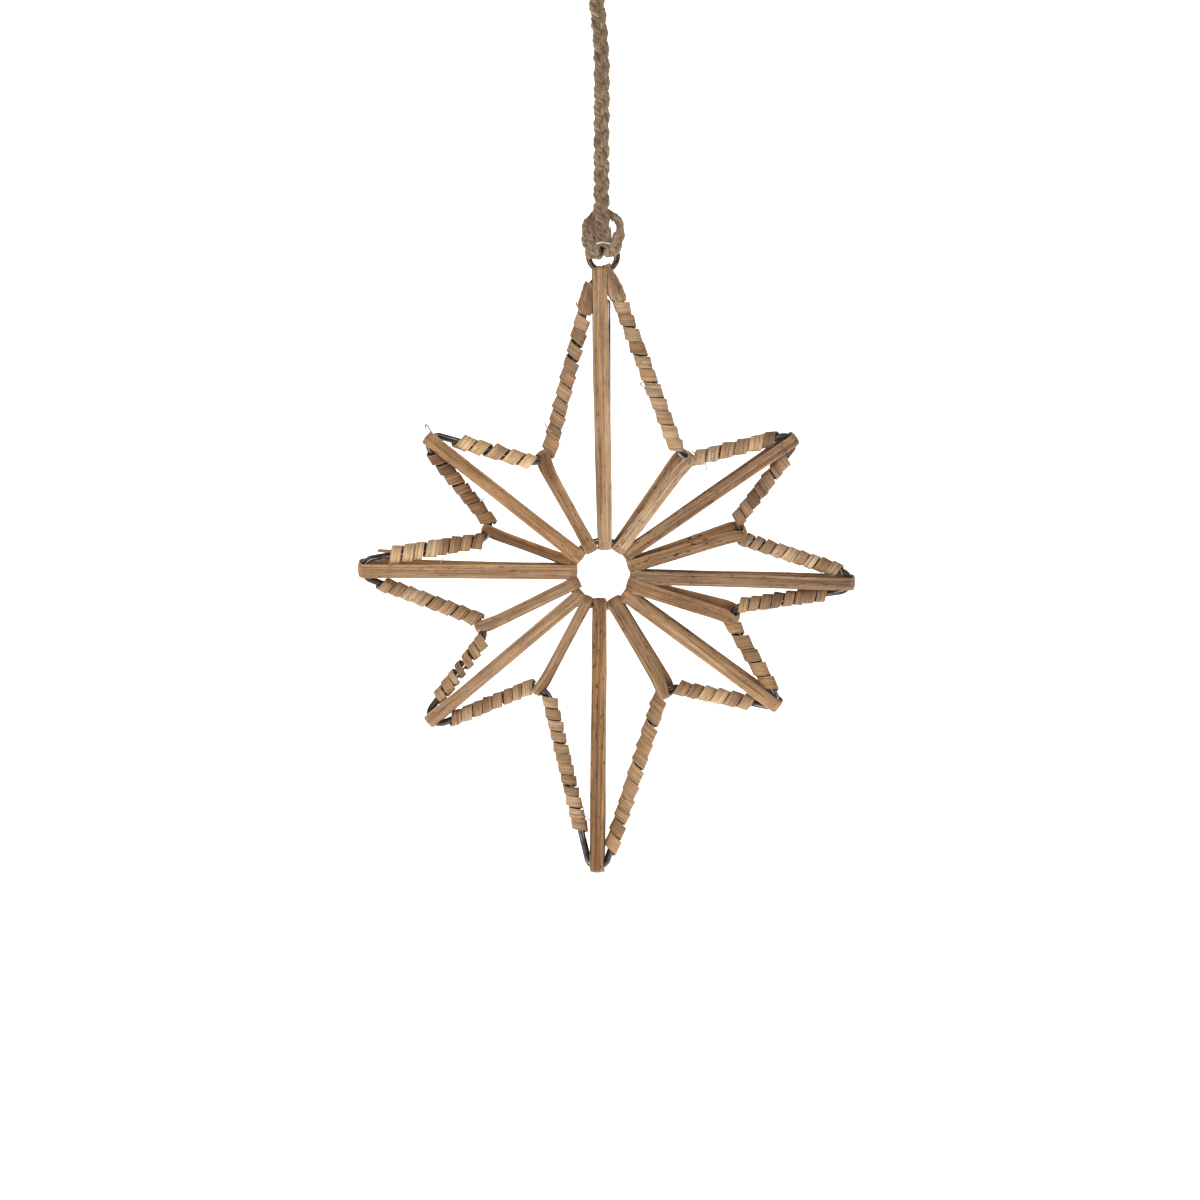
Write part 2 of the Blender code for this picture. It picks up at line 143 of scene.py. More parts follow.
SPOKES = (
    (0.52, 0.15, 0.35, 0.1, ((0.25, 0.9, -0.16, 0.2), (-1.0, -0.8, -0.2, 0.0), (0.15, 0.28, 0.2, 0.0))),
    (0.66, 0.00, 0.70, 0.1, ((0.8, 1.1, 0.35, 0.1), (-0.1, 0.1, -0.18, 0.0))),
    (0.38, 0.15, 0.60, 0.1, ((-0.8, -0.1, -0.24, 0.1), (0.0, 0.2, 0.2, 0.2), (0.8, 1.1, -0.3, 0.0))),
    (0.34, 0.50, 1.20, 0.2, ((0.5, 1.1, 0.16, 0.5), (-1.1, -0.75, -0.3, 0.0))),
    (0.24, -0.10, 0.60, 0.1, ((0.55, 0.85, 0.45, 0.1), (0.85, 1.1, -0.3, 0.0), (0.35, 0.55, -0.2, 0.0))),
    (0.32, 0.65, 0.50, 0.1, ((0.7, 1.1, 0.2, 0.1), (-0.3, 0.0, -0.2, 0.1))),
    (0.36, 0.40, 0.45, 0.1, ((0.8, 1.1, -0.45, 0.2), (-0.2, 0.3, 0.14, 0.0), (-1.1, -0.8, 0.2, 0.0))),
    (0.32, 0.35, 0.50, 0.1, ((0.75, 1.1, -0.35, 0.2), (-0.45, -0.3, -0.35, 0.0), (-0.9, -0.5, 0.15, 0.0))),
    (0.22, 1.05, 0.80, 0.1, ((0.5, 0.95, 0.2, 0.0), (-1.1, -0.8, -0.3, 0.1), (-0.2, 0.1, -0.16, 0.0))),
    (0.34, 0.10, 0.35, 0.1, ((0.6, 1.1, -0.35, 0.3), (-0.7, -0.1, 0.16, -0.1))),
    (0.46, 0.10, 0.40, 0.1, ((-1.1, -0.75, 0.25, 0.3), (-0.7, -0.55, -0.3, 0.0), (0.8, 1.1, -0.1, 0.0))),
    (0.38, 0.15, 0.45, 0.1, ((0.0, 0.2, -0.18, 0.0), (-1.1, -0.8, 0.2, 0.1))),
    (0.42, 0.30, 0.50, 0.1, ((-1.1, -0.3, 0.18, 0.4), (-0.3, -0.18, -0.3, 0.0), (0.8, 1.1, -0.15, 0.0))),
    (0.10, 1.60, 0.60, 0.3, ((-1.1, -0.6, 0.4, 0.2), (0.75, 1.1, 0.15, 0.0))),
    (0.38, 0.90, 0.50, 0.1, ((-1.1, -0.85, 0.3, 0.2), (-0.8, -0.6, -0.25, 0.2), (0.0, 0.15, -0.25, 0.0))),
    (0.34, 0.70, 0.70, 0.5, ((-1.1, -0.7, 0.25, 0.0), (0.1, 0.35, -0.14, 0.0))),
)

# Loose splinters and fibres of the strip, each with its thickness and points from the middle
# of the star, as sideways, height and, where it isn't the usual one, depth, in millimetres

SPLINTER_DEPTH = 2.9
SPLINTERS = (
    (0.5, ((-21.2, 58.9), (-23.3, 60.9), (-23.7, 63.4))),
    (0.5, ((-19.2, 55.2), (-17.8, 53.9), (-17.0, 54.7))),
    (0.4, ((15.1, 78.2), (16.7, 77.0), (17.4, 75.3))),
    (0.6, ((-9.2, 108.3), (-10.6, 110.3), (-10.9, 112.0))),
    (0.4, ((97.6, 0.0), (96.8, 2.9))),
    (0.35, ((-66.2, 4.9), (-65.0, 7.4))),
    (1.2, ((-86.2, 9.4, 1.8), (-89.0, 9.6, 1.6), (-92.2, 9.8, 1.4))),
    (0.5, ((-71.9, 61.7), (-70.3, 59.3), (-68.2, 56.4))),
    (0.3, ((-8.2, -95.5), (-7.4, -99.2), (-4.9, -101.7))),
    (0.35, ((-51.9, 32.9), (-49.4, 30.7), (-47.8, 31.7))),
    (0.16, ((-21.0, 26.9), (-17.6, 24.3), (-14.7, 20.6))),
    (0.5, ((38.4, 48.6), (36.8, 50.2), (35.9, 50.8))),
    (0.35, ((44.7, 50.2), (44.1, 51.7))),
    (0.4, ((42.1, 44.0), (41.9, 42.4))),
    (0.4, ((12.7, 2.1), (15.5, 1.4), (17.0, 0.2))),
    (0.3, ((1.6, -11.1), (0.7, -8.6))),
    (0.4, ((54.7, 15.6), (55.6, 13.6))),
    (0.25, ((70.7, -58.0), (72.7, -59.3))),
    (0.3, ((-0.8, -121.0), (1.6, -123.1))),
)

# Cord route in millimetres: sideways, height and depth from the middle of the hanging ring,
# then sideways and height from the point in the loop that a hook or nail bears on

LOOP_NECK = 3.4
CORD_FROM_RING = (
    (0.2, 4.4, 4.3), (0.1, 7.9, 4.2), (0.0, 11.4, 3.6), (-0.4, 15.5, 2.2),
    (-0.6, 20.5, 0.8), (-0.6, 27.0, 0.0), (-0.6, 50.0, 0.0), (-0.6, 80.0, 0.0),
)
CORD_TO_LOOP = (
    (-2.6, -40.0), (-LOOP_NECK, -34.0), (-6.2, -26.5), (-10.6, -17.8), (-12.8, -9.6),
    (-10.6, -2.8), (-5.6, 1.6), (0.0, 2.9), (5.6, 1.6), (10.6, -2.8),
    (12.8, -9.6), (10.6, -17.8), (6.2, -26.5), (LOOP_NECK, -34.0), (3.2, -37.2),
)

# Route of the hitch from the middle of the hanging ring, each point with the way that the
# flat side of the braid faces there

HITCH_ROUTE = (
    (1.8, 6.5, -3.8, (0.0, 0.0, -1.0)), (2.5, 2.6, -3.4, (0.0, -0.4, -1.0)),
    (3.1, 1.1, -0.6, (0.0, -1.0, 0.0)), (3.5, 1.9, 2.4, (0.0, -0.6, 0.8)),
    (4.5, 4.4, 3.8, (0.3, 0.0, 1.0)), (6.1, 7.2, 3.2, (0.8, 0.0, 0.6)),
    (7.0, 10.6, 1.6, (1.0, 0.0, 0.2)), (6.2, 14.2, -0.6, (0.9, 0.4, 0.1)),
    (3.2, 16.6, -3.0, (0.3, 0.9, 0.2)), (-1.0, 16.8, -3.8, (-0.1, 0.7, 0.7)),
    (-4.0, 14.8, -2.6, (-0.3, 0.3, 0.9)), (-5.7, 11.4, 0.2, (-0.2, 0.0, 1.0)),
    (-5.7, 7.6, 1.8, (-0.2, 0.0, 1.0)), (-4.9, 4.0, 3.4, (-0.1, -0.1, 1.0)),
    (-3.9, 1.0, 2.8, (0.0, -0.7, 0.7)), (-3.3, 0.4, -0.4, (0.0, -1.0, 0.0)),
    (-2.6, 2.4, -3.4, (0.0, -0.5, -0.9)), (-2.2, 6.5, -3.9, (0.0, 0.0, -1.0)),
    (-2.8, 9.6, -3.4, (0.0, 0.0, -1.0)), (-3.2, 12.8, -3.0, (0.0, 0.0, -1.0)),
)


# Small sums


def linear(red, green, blue):
    """A colour as a shader takes it, from its levels between 0 and 255."""
    levels = (red / 255, green / 255, blue / 255)
    return (*(v / 12.92 if v <= 0.04045 else ((v + 0.055) / 1.055) ** 2.4 for v in levels), 1.0)


def blend(first, second, share):
    """A value or a tuple part of the way from the first to the second."""
    if isinstance(first, (tuple, list)):
        return tuple(a + (b - a) * share for a, b in zip(first, second))
    return first + (second - first) * share


def clamp(value, low=0.0, high=1.0):
    """A value kept between two others."""
    return min(max(value, low), high)


def polar(angle, reach):
    """A point of the star's plane by its angle in degrees and its reach from the middle."""
    turn = math.radians(angle)
    return Vector((reach * math.cos(turn), reach * math.sin(turn)))


def side_of(direction):
    """The direction a quarter turn anticlockwise of another."""
    return Vector((-direction.y, direction.x))


def turned(first, second, angle):
    """The direction at an angle from the first of two axes towards the second."""
    return first * math.cos(angle) + second * math.sin(angle)


def in_star(point, depth=0.0):
    """A point of the star's plane in space, at a depth towards the viewer."""
    return Vector((point[0], -depth, point[1] + STAR_HEIGHT))


def in_space(direction):
    """A direction of the star's plane in space."""
    return Vector((direction[0], 0.0, direction[1]))


def wander(place, seed, pitch):
    """A smooth value between about -1 and 1 that changes over each pitch along a piece."""
    return noise.noise(Vector((place / pitch, seed * 7.31, seed * 3.17)))


def settings_of(kind):
    """What a user may change of one kind: cane, steel, jute or stage."""
    return getattr(bpy.context.scene, f"ornament_{kind}")


# Meshes


def new_piece_mesh():
    """An empty bmesh with the layers that every piece's material reads."""
    bm = bmesh.new()
    bm.loops.layers.uv.new("Strip")
    bm.verts.layers.float_color.new("tint")
    bm.verts.layers.float.new("across")
    return bm


def laid_grid(rows, columns, place, size, start=0.0, tint=None, closed=False, capped=False):
    """A grid whose points are laid in space by place(share along, share across).

    Its pattern map runs from start, over the size in metres along and across it.
    """
    bm = new_piece_mesh()
    marks = bm.loops.layers.uv["Strip"]
    tints = bm.verts.layers.float_color["tint"]
    across_layer = bm.verts.layers.float["across"]
    bmesh.ops.create_grid(bm, x_segments=rows, y_segments=columns, size=0.5)
    shares = {vert: (clamp(vert.co.x + 0.5), clamp(vert.co.y + 0.5)) for vert in bm.verts}
    for face in bm.faces:
        face.smooth = True
        for loop in face.loops:
            along, across = shares[loop.vert]
            loop[marks].uv = (start + along * size[0], (across - 0.5) * size[1])
    for vert, (along, across) in shares.items():
        vert.co = place(along, across)
        vert[across_layer] = 2 * across - 1
        vert[tints] = tint(along, across) if tint else (1.0, 1.0, 1.0, 0.0)
    if closed:
        bmesh.ops.remove_doubles(bm, verts=bm.verts, dist=MERGE_DISTANCE)
    if capped:
        rim = [edge for edge in bm.edges if edge.is_boundary]
        bmesh.ops.holes_fill(bm, edges=rim, sides=0)
    bmesh.ops.recalc_face_normals(bm, faces=bm.faces)
    return bm


def join_into(target, other):
    """Adds one bmesh to another, which keeps its layers."""
    mesh = bpy.data.meshes.new("part of a piece")
    other.to_mesh(mesh)
    other.free()
    target.from_mesh(mesh)
    bpy.data.meshes.remove(mesh)


def linked(name, data):
    """An object of its own in the scene."""
    made = bpy.data.objects.new(name, data)
    bpy.context.scene.collection.objects.link(made)
    return made


def mesh_object(bm, name, slot):
    """Makes the object of a bmesh, in the material of a slot."""
    mesh = bpy.data.meshes.new(name)
    bm.to_mesh(mesh)
    bm.free()
    mesh.materials.append(material(slot))
    return linked(name, mesh)


def finish_piece(bm, name, slot, nodes=()):
    """Makes a piece, which rides on the ornament's one body."""
    piece = mesh_object(bm, name, slot)
    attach(piece, "root")
    if nodes:
        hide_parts(*nodes)
    return piece


def strip_piece(bm, name, nodes=(), rounding=0.12 * MM):
    """Makes a piece of flat strip with softened edges from its middle surface."""
    piece = finish_piece(bm, name, "split_cane", nodes)
    wall = piece.modifiers.new("thickness", "SOLIDIFY")
    wall.thickness = settings_of("cane").thickness
    wall.offset = 0.0
    wall.use_even_offset = True
    edge = piece.modifiers.new("soft edges", "BEVEL")
    edge.width = rounding
    edge.segments = 2
    edge.limit_method = "ANGLE"
    edge.angle_limit = math.radians(50)
    edge.harden_normals = True


class Route:
    """A smooth line through space, with the way that a flat cord faces along it."""

    def __init__(self, points, faces=None, samples=16, closed=False):
        points = [Vector(point) for point in points]
        faces = [Vector(face).normalized() for face in faces] if faces else [FRONT] * len(points)
        if closed:
            points.append(points[0])
            faces.append(faces[0])
        self.points = []
        self.faces = []
        padded = [points[-2] if closed else points[0], *points, points[1] if closed else points[-1]]
        for k in range(len(points) - 1):
            before, start, end, after = padded[k : k + 4]
            for step in range(samples):
                t = step / samples
                bend = (2 * before - 5 * start + 4 * end - after) * t**2
                twist = (3 * start - before - 3 * end + after) * t**3
                self.points.append((2 * start + (end - before) * t + bend + twist) / 2)
                self.faces.append(faces[k].lerp(faces[k + 1], t))
        self.points.append(points[-1])
        self.faces.append(faces[-1])
        self.lengths = [0.0]
        for start, end in zip(self.points, self.points[1:]):
            self.lengths.append(self.lengths[-1] + (end - start).length)
        self.length = self.lengths[-1]
        self.closed = closed

    def index(self, along):
        """The number of the short straight piece that a distance along falls in."""
        low, high = 0, len(self.lengths) - 2
        while low < high:
            middle = (low + high + 1) // 2
            if self.lengths[middle] <= along:
                low = middle
            else:
                high = middle - 1
        return low

    def point(self, along):
        if self.closed:
            along %= self.length
        k = self.index(along)
        share = (along - self.lengths[k]) / max(self.lengths[k + 1] - self.lengths[k], 1e-9)
        return self.points[k].lerp(self.points[k + 1], share)

    def axes(self, along, reach=0.4 * MM):
        """The direction along the line, sideways of it and out of its flat side."""
        if self.closed:
            tangent = self.point(along + reach) - self.point(along - reach)
        else:
            ahead = min(along + reach, self.length)
            tangent = self.point(ahead) - self.point(max(ahead - 2 * reach, 0.0))
        tangent.normalize()
        face = self.faces[self.index(clamp(along, 0.0, self.length))]
        face = (face - tangent * face.dot(tangent)).normalized()
        return tangent, tangent.cross(face), face


def tube(route, radius, step, sides=10, tint=None, start=0.0, taper=0.0):
    """A round wire, yarn or fibre along a route. radius may change along it."""
    rows = max(round(route.length / step), 2)
    thick = radius if callable(radius) else lambda along: radius

    def place(along, around):
        distance = along * route.length
        _, side, face = route.axes(distance)
        size = thick(distance)
        if taper:
            near_end = min(distance, route.length - distance) / taper
            size *= math.sqrt(max(1 - (1 - min(near_end, 1.0)) ** 2, 0.0009))
        return route.point(distance) + turned(side, face, math.tau * around) * size

    size = (route.length, math.tau * thick(route.length / 2))
    return laid_grid(rows, sides, place, size, start, tint, closed=True, capped=not route.closed)


# Materials


class Shade:
    """A value that a shader works out. Sums on it add the nodes they need."""

    def __init__(self, finish, link):
        self.finish = finish
        self.link = link

    def sum_with(self, operation, first, second):
        return self.finish.node("ShaderNodeMath", {"operation": operation}, {0: first, 1: second})

    def __add__(self, other):
        return self.sum_with("ADD", self, other)

    def __radd__(self, other):
        return self.sum_with("ADD", other, self)

    def __sub__(self, other):
        return self.sum_with("SUBTRACT", self, other)

    def __rsub__(self, other):
        return self.sum_with("SUBTRACT", other, self)

    def __mul__(self, other):
        return self.sum_with("MULTIPLY", self, other)

    def __rmul__(self, other):
        return self.sum_with("MULTIPLY", other, self)

    def __pow__(self, other):
        return self.sum_with("POWER", self, other)

    def size(self):
        return self.finish.node("ShaderNodeMath", {"operation": "ABSOLUTE"}, {0: self})

    def between(self, low, high):
        """0 below low, 1 above high, and a smooth rise between."""
        settings = {"interpolation_type": "SMOOTHSTEP"}
        return self.finish.node("ShaderNodeMapRange", settings, {0: self, 1: low, 2: high})


class Finish:
    """One material and the nodes that make it."""

    def __init__(self, name):
        made = bpy.data.materials.new(name)
        made.use_nodes = True
        self.tree = made.node_tree
        self.shader = self.tree.nodes["Principled BSDF"]

    def node(self, kind, settings=None, inputs=None, output=0):
        """Adds a node, sets it up and feeds its sockets, and gives one of its results."""
        made = self.tree.nodes.new(kind)
        for key, value in (settings or {}).items():
            setattr(made, key, value)
        for socket, value in (inputs or {}).items():
            self.feed(made.inputs[socket], value)
        return Shade(self, made.outputs[output])

    def feed(self, socket, value):
        if isinstance(value, Shade):
            self.tree.links.new(value.link, socket)
        else:
            socket.default_value = value

    def strip_map(self):
        """The pattern map along and across a piece."""
        return self.node("ShaderNodeUVMap", {"uv_map": "Strip"})

    def spot(self):
        """The place in the object itself."""
        return self.node("ShaderNodeTexCoord", output=3)

    def layer(self, name, output=0):
        """What the points of a piece hold in a layer: its colour, or a value of it."""
        return self.node("ShaderNodeAttribute", {"attribute_name": name}, output=output)

    def mix(self, share, first, second, way="MIX"):
        """A colour between two others, or one laid on the other in the given way."""
        settings = {"data_type": "RGBA", "blend_type": way}
        return self.node("ShaderNodeMix", settings, {0: share, 6: first, 7: second}, 2)

    def ramp(self, value, stops):
        """A colour picked from a row of places and colours."""
        shade = self.node("ShaderNodeValToRGB", None, {0: value})
        row = shade.link.node.color_ramp.elements
        while len(row) < len(stops):
            row.new(1.0)
        for stop, (place, colour) in zip(row, stops):
            stop.position = place
            stop.color = colour
        return shade

    def cloud(self, vector, along, across, away=0.0, detail=3.0, roughness=0.6):
        """Soft noise between 0 and 1, with its own number of features to the metre each way."""
        settings = {"operation": "MULTIPLY"}
        scaled = self.node("ShaderNodeVectorMath", settings, {0: vector, 1: (along, across, away)})
        inputs = {"Vector": scaled, "Scale": 1.0, "Detail": detail, "Roughness": roughness}
        return self.node("ShaderNodeTexNoise", None, inputs)

    def set(self, **values):
        """Feeds the shader's own sockets, whose names are given with _ for a space."""
        for name, value in values.items():
            self.feed(self.shader.inputs[name.replace("_", " ")], value)

    def bump(self, height, strength, distance):
        inputs = {"Strength": strength, "Distance": distance, "Height": height}
        self.set(Normal=self.node("ShaderNodeBump", None, inputs))


def make_cane(finish, settings):
    """Split cane: fine grain along the strip, darker streaks, cracks, bark specks, and pale edges, partly
    the cut edge's own colour and partly a painted highlight.
    """
    place = finish.strip_map()
    bark = finish.layer("tint", 3)
    grain = finish.cloud(place, 55, 5200, detail=4.0, roughness=0.7)
    bands = finish.cloud(place, 22, 900, detail=2.0)
    mottle = finish.cloud(place, 160, 420)
    ridges = finish.cloud(place, 12, 2600, detail=1.0)
    light = 0.38 + 0.38 * grain.between(0.32, 0.68) + 0.42 * bands.between(0.34, 0.66)
    light = light + 0.24 * ridges.between(0.35, 0.65) + 0.20 * mottle.between(0.35, 0.65)
    level = finish.node("ShaderNodeCombineColor", None, {0: light, 1: light**1.08, 2: light**1.2})
    colour = finish.mix(1.0, finish.layer("tint"), level, "MULTIPLY")
    # Paler along both edges of each strip: partly the paler cut edge, partly a painted highlight of the
    # light that the edges catch.
    edges = finish.layer("across", 2).size().between(0.80, 1.0) * (0.15 + 0.75 * bands)
    streaks = finish.cloud(place, 30, 1900, detail=2.0).between(0.56, 0.70) * bark * 0.8
    specks = finish.cloud(place, 300, 1100, detail=2.0).between(0.59, 0.65) * bark
    cracks = finish.cloud(place, 24, 5200, detail=1.0).between(0.61, 0.67) * 0.75
    colour = finish.mix(edges, colour, settings.pale_edge_and_highlight)
    colour = finish.mix(streaks, colour, settings.bark_streak)
    colour = finish.mix(specks, colour, settings.bark)
    colour = finish.mix(cracks, colour, settings.bark)
    finish.set(Base_Color=colour, Roughness=0.44 + 0.22 * grain, Specular_IOR_Level=0.35)
    finish.bump(grain * 0.7 + bands * 0.6 + ridges * 0.6 - cracks * 0.6, 0.7, 0.3 * MM)


def make_steel(finish, settings):
    """Dark annealed wire with drawing lines along it, duller, browner patches, and thin bright lines
    painted along it as highlights.
    """
    place = finish.strip_map()
    lines = finish.cloud(place, 40, 6000, detail=2.0)
    patches = finish.cloud(finish.spot(), 300, 300, 300)
    dull = patches.between(0.46, 0.62)
    # Painted highlight: thin bright lines along the wire that stand in for glints of light.
    painted_glints = finish.cloud(place, 60, 1500, detail=1.0).between(0.61, 0.67)
    colour = finish.mix(dull, settings.steel, settings.oxide)
    colour = finish.mix(painted_glints, colour, settings.painted_glints)
    roughness = 0.20 + 0.14 * lines + 0.2 * dull
    finish.set(Base_Color=colour, Metallic=0.95 - 0.35 * dull, Roughness=roughness)
    finish.bump(lines + patches * 0.6, 0.35, 0.12 * MM)


def make_bright_steel(finish, settings):
    """The plated wire of the staples."""
    wear = finish.cloud(finish.spot(), 900, 900, 900)
    colour = finish.mix(wear.between(0.45, 0.7), settings.staple, settings.staple_worn)
    finish.set(Base_Color=colour, Metallic=1.0, Roughness=0.16 + 0.18 * wear)
    finish.bump(wear, 0.15, 0.05 * MM)


def make_jute(finish, settings):
    """Jute yarn: fibres along the yarn in grey brown to straw, darker between them."""
    place = finish.strip_map()
    fibres = finish.cloud(place, 330, 4200, detail=4.0, roughness=0.75)
    strands = finish.cloud(place, 120, 1500, detail=2.0)
    stops = ((0.34, settings.jute_dark), (0.50, settings.jute_brown), (0.68, settings.jute_straw))
    colour = finish.ramp(fibres * 0.6 + strands * 0.4, stops)
    colour = finish.mix(1.0, colour, finish.layer("tint"), "MULTIPLY")
    finish.set(Base_Color=colour, Roughness=0.88, Specular_IOR_Level=0.2, Sheen_Weight=0.25)
    finish.bump(fibres + strands * 0.5, 0.9, 0.5 * MM)


def make_backdrop(finish, settings):
    """Plain white board that glows a little, so that it meets the white of the world."""
    tooth = finish.cloud(finish.spot(), 900, 900, 900, detail=2.0)
    finish.set(Base_Color=(0.95, 0.95, 0.95, 1.0), Roughness=0.85)
    finish.set(Emission_Color=(1.0, 1.0, 1.0, 1.0), Emission_Strength=settings.board_glow)
    finish.bump(tooth, 0.05, 0.2 * MM)


# Each slot's material, with what makes it and the kind of its settings

MATERIALS = {
    "split_cane": ("split_cane_strip", make_cane, "cane"),
    "steel_wire": ("dark_steel_wire", make_steel, "steel"),
    "staple_steel": ("bright_staple_wire", make_bright_steel, "steel"),
    "jute": ("jute_yarn", make_jute, "jute"),
    "board": ("white_board", make_backdrop, "stage"),
}


def material(slot):
    """The material of a slot, made when it's first asked for."""
    name, make, kind = MATERIALS[slot]
    if name not in bpy.data.materials:
        make(Finish(name), settings_of(kind))
    return bpy.data.materials[name]


# The star's bends and legs


class Corner:
    """One bend of the star wire and the strip that loops from the ring to it."""

    def __init__(self, number):
        row = CORNERS[number]
        self.name, angle, reach, radius, ring_angle, width, lay, ring_lay, before, after, layer = row
        around = (CORNERS[number - 1], CORNERS[(number + 1) % COUNT])
        self.is_tip = self.name.startswith("tip")
        self.sharp = polar(angle, reach * MM)
        self.on_ring = polar(ring_angle, settings_of("steel").ring_diameter / 2)
        self.radius = radius * MM
        self.width = width * MM
        self.lay = lay * MM
        self.ring_lay = ring_lay * MM
        self.bare = (before * MM, after * MM)
        self.layer = layer
        self.legs = [(polar(other[1], other[2] * MM) - self.sharp).normalized() for other in around]
        self.half_angle = self.legs[0].angle(self.legs[1]) / 2
        self.inward = (self.legs[0] + self.legs[1]).normalized()
        self.tangent = self.radius / math.tan(self.half_angle)
        self.bend_centre = self.sharp + self.inward * (self.radius / math.sin(self.half_angle))
        self.crest = self.bend_centre - self.inward * self.radius
        self.strip_end = self.crest.copy()
        if number == 0:
            self.strip_end += Vector((-1.0 * MM, 2.6 * MM))
        self.along = (self.strip_end - self.on_ring).normalized()
        self.across = side_of(self.along)
        self.length = (self.strip_end - self.on_ring).length

    def bend(self, steps):
        """The points of the wire round this bend."""
        start = self.sharp + self.legs[0] * self.tangent - self.bend_centre
        end = self.sharp + self.legs[1] * self.tangent - self.bend_centre
        sweep = start.angle_signed(end)
        turns = [Matrix.Rotation(-sweep * k / steps, 2) for k in range(steps + 1)]
        return [self.bend_centre + turn @ start for turn in turns]

    def wrap_start(self, side):
        """Distance from the sharp corner at which the strip starts on a leg."""
        if self.is_tip:
            return self.tangent + self.bare[side]
        leaving = self.legs[side].angle(self.along)
        clear = self.width / 2 - 0.6 * MM + 1.2 * MM * math.cos(leaving)
        tucked = 2.4 * MM if side else 0.2 * MM
        return max(clear / math.sin(leaving), self.tangent * 0.7) - tucked + self.bare[side]


def leg_ends(number):
    """The corners at the start and the end of a leg."""
    return Corner(number), Corner((number + 1) % COUNT)


def cane_colour(settings, light, warmth):
    """A strip's own colour, from dark to cream and from grey to orange."""
    if light < 0.5:
        colour = blend(tuple(settings.cane_dark), tuple(settings.cane_tan), light * 2)
    else:
        colour = blend(tuple(settings.cane_tan), tuple(settings.cane_cream), light * 2 - 1)
    warm = (1.0 + 0.08 * warmth, 1.0 - 0.03 * warmth, 1.0 - 0.22 * warmth)
    return tuple(value * by for value, by in zip(colour[:3], warm))


# Wire


def wire_piece(name, route, radius, step, node, sides=14, taper=0.0):
    """A length of dark wire as a piece."""
    finish_piece(tube(route, radius, step, sides, taper=taper), name, "steel_wire", [node])


def make_star_wire(settings):
    """The wire bent round all corners, and closed."""
    points = []
    for number in range(COUNT):
        corner, after = leg_ends(number)
        bend = corner.bend(BEND_STEPS)
        leg_end = after.sharp + after.legs[0] * after.tangent
        points += [in_star(point) for point in bend]
        points += [in_star(bend[-1].lerp(leg_end, share)) for share in (0.2, 0.4, 0.6, 0.8)]
    route = Route(points, samples=2, closed=True)
    wire_piece("bent_star_wire", route, settings.wire_diameter / 2, 0.9 * MM, "star_wire")


def ring_route(diameter, height):
    radius = diameter / 2
    turns = [math.tau * k / RING_STEPS for k in range(RING_STEPS)]
    points = [(radius * math.sin(t), 0.0, height + radius * math.cos(t)) for t in turns]
    return Route(points, samples=1, closed=True)


def make_rings(settings):
    ring = ring_route(settings.ring_diameter, STAR_HEIGHT)
    wire_piece("inner_ring", ring, settings.wire_diameter / 2, 0.7 * MM, "centre_ring")
    ring = ring_route(settings.hanging_diameter, RING_HEIGHT)
    wire_piece("top_ring", ring, settings.hanging_wire / 2, 0.35 * MM, "hanging_ring", 18)


def make_rods(settings):
    """The rods in the top and bottom spokes, each beside the spoke's middle and short of the bend."""
    radius = settings.rod_diameter / 2
    rods = (("rod_top", 0, 1.8 * MM, 2.6 * MM), ("rod_bottom", 8, 1.35 * MM, 1.4 * MM))
    for node, number, beside, short in rods:
        corner = Corner(number)
        reach = (short + radius + 0.4 * MM) / math.sin(corner.half_angle)
        reach += beside / math.tan(corner.half_angle)
        end = corner.sharp + corner.inward * reach + side_of(corner.inward) * beside
        start = corner.on_ring + corner.along * 1.7 * MM - corner.across * beside * 0.7
        route = Route([in_star(start), in_star(start.lerp(end, 0.5)), in_star(end)], samples=8)
        wire_piece(f"straight_{node}", route, radius, 1.2 * MM, node, taper=radius)


# Cane


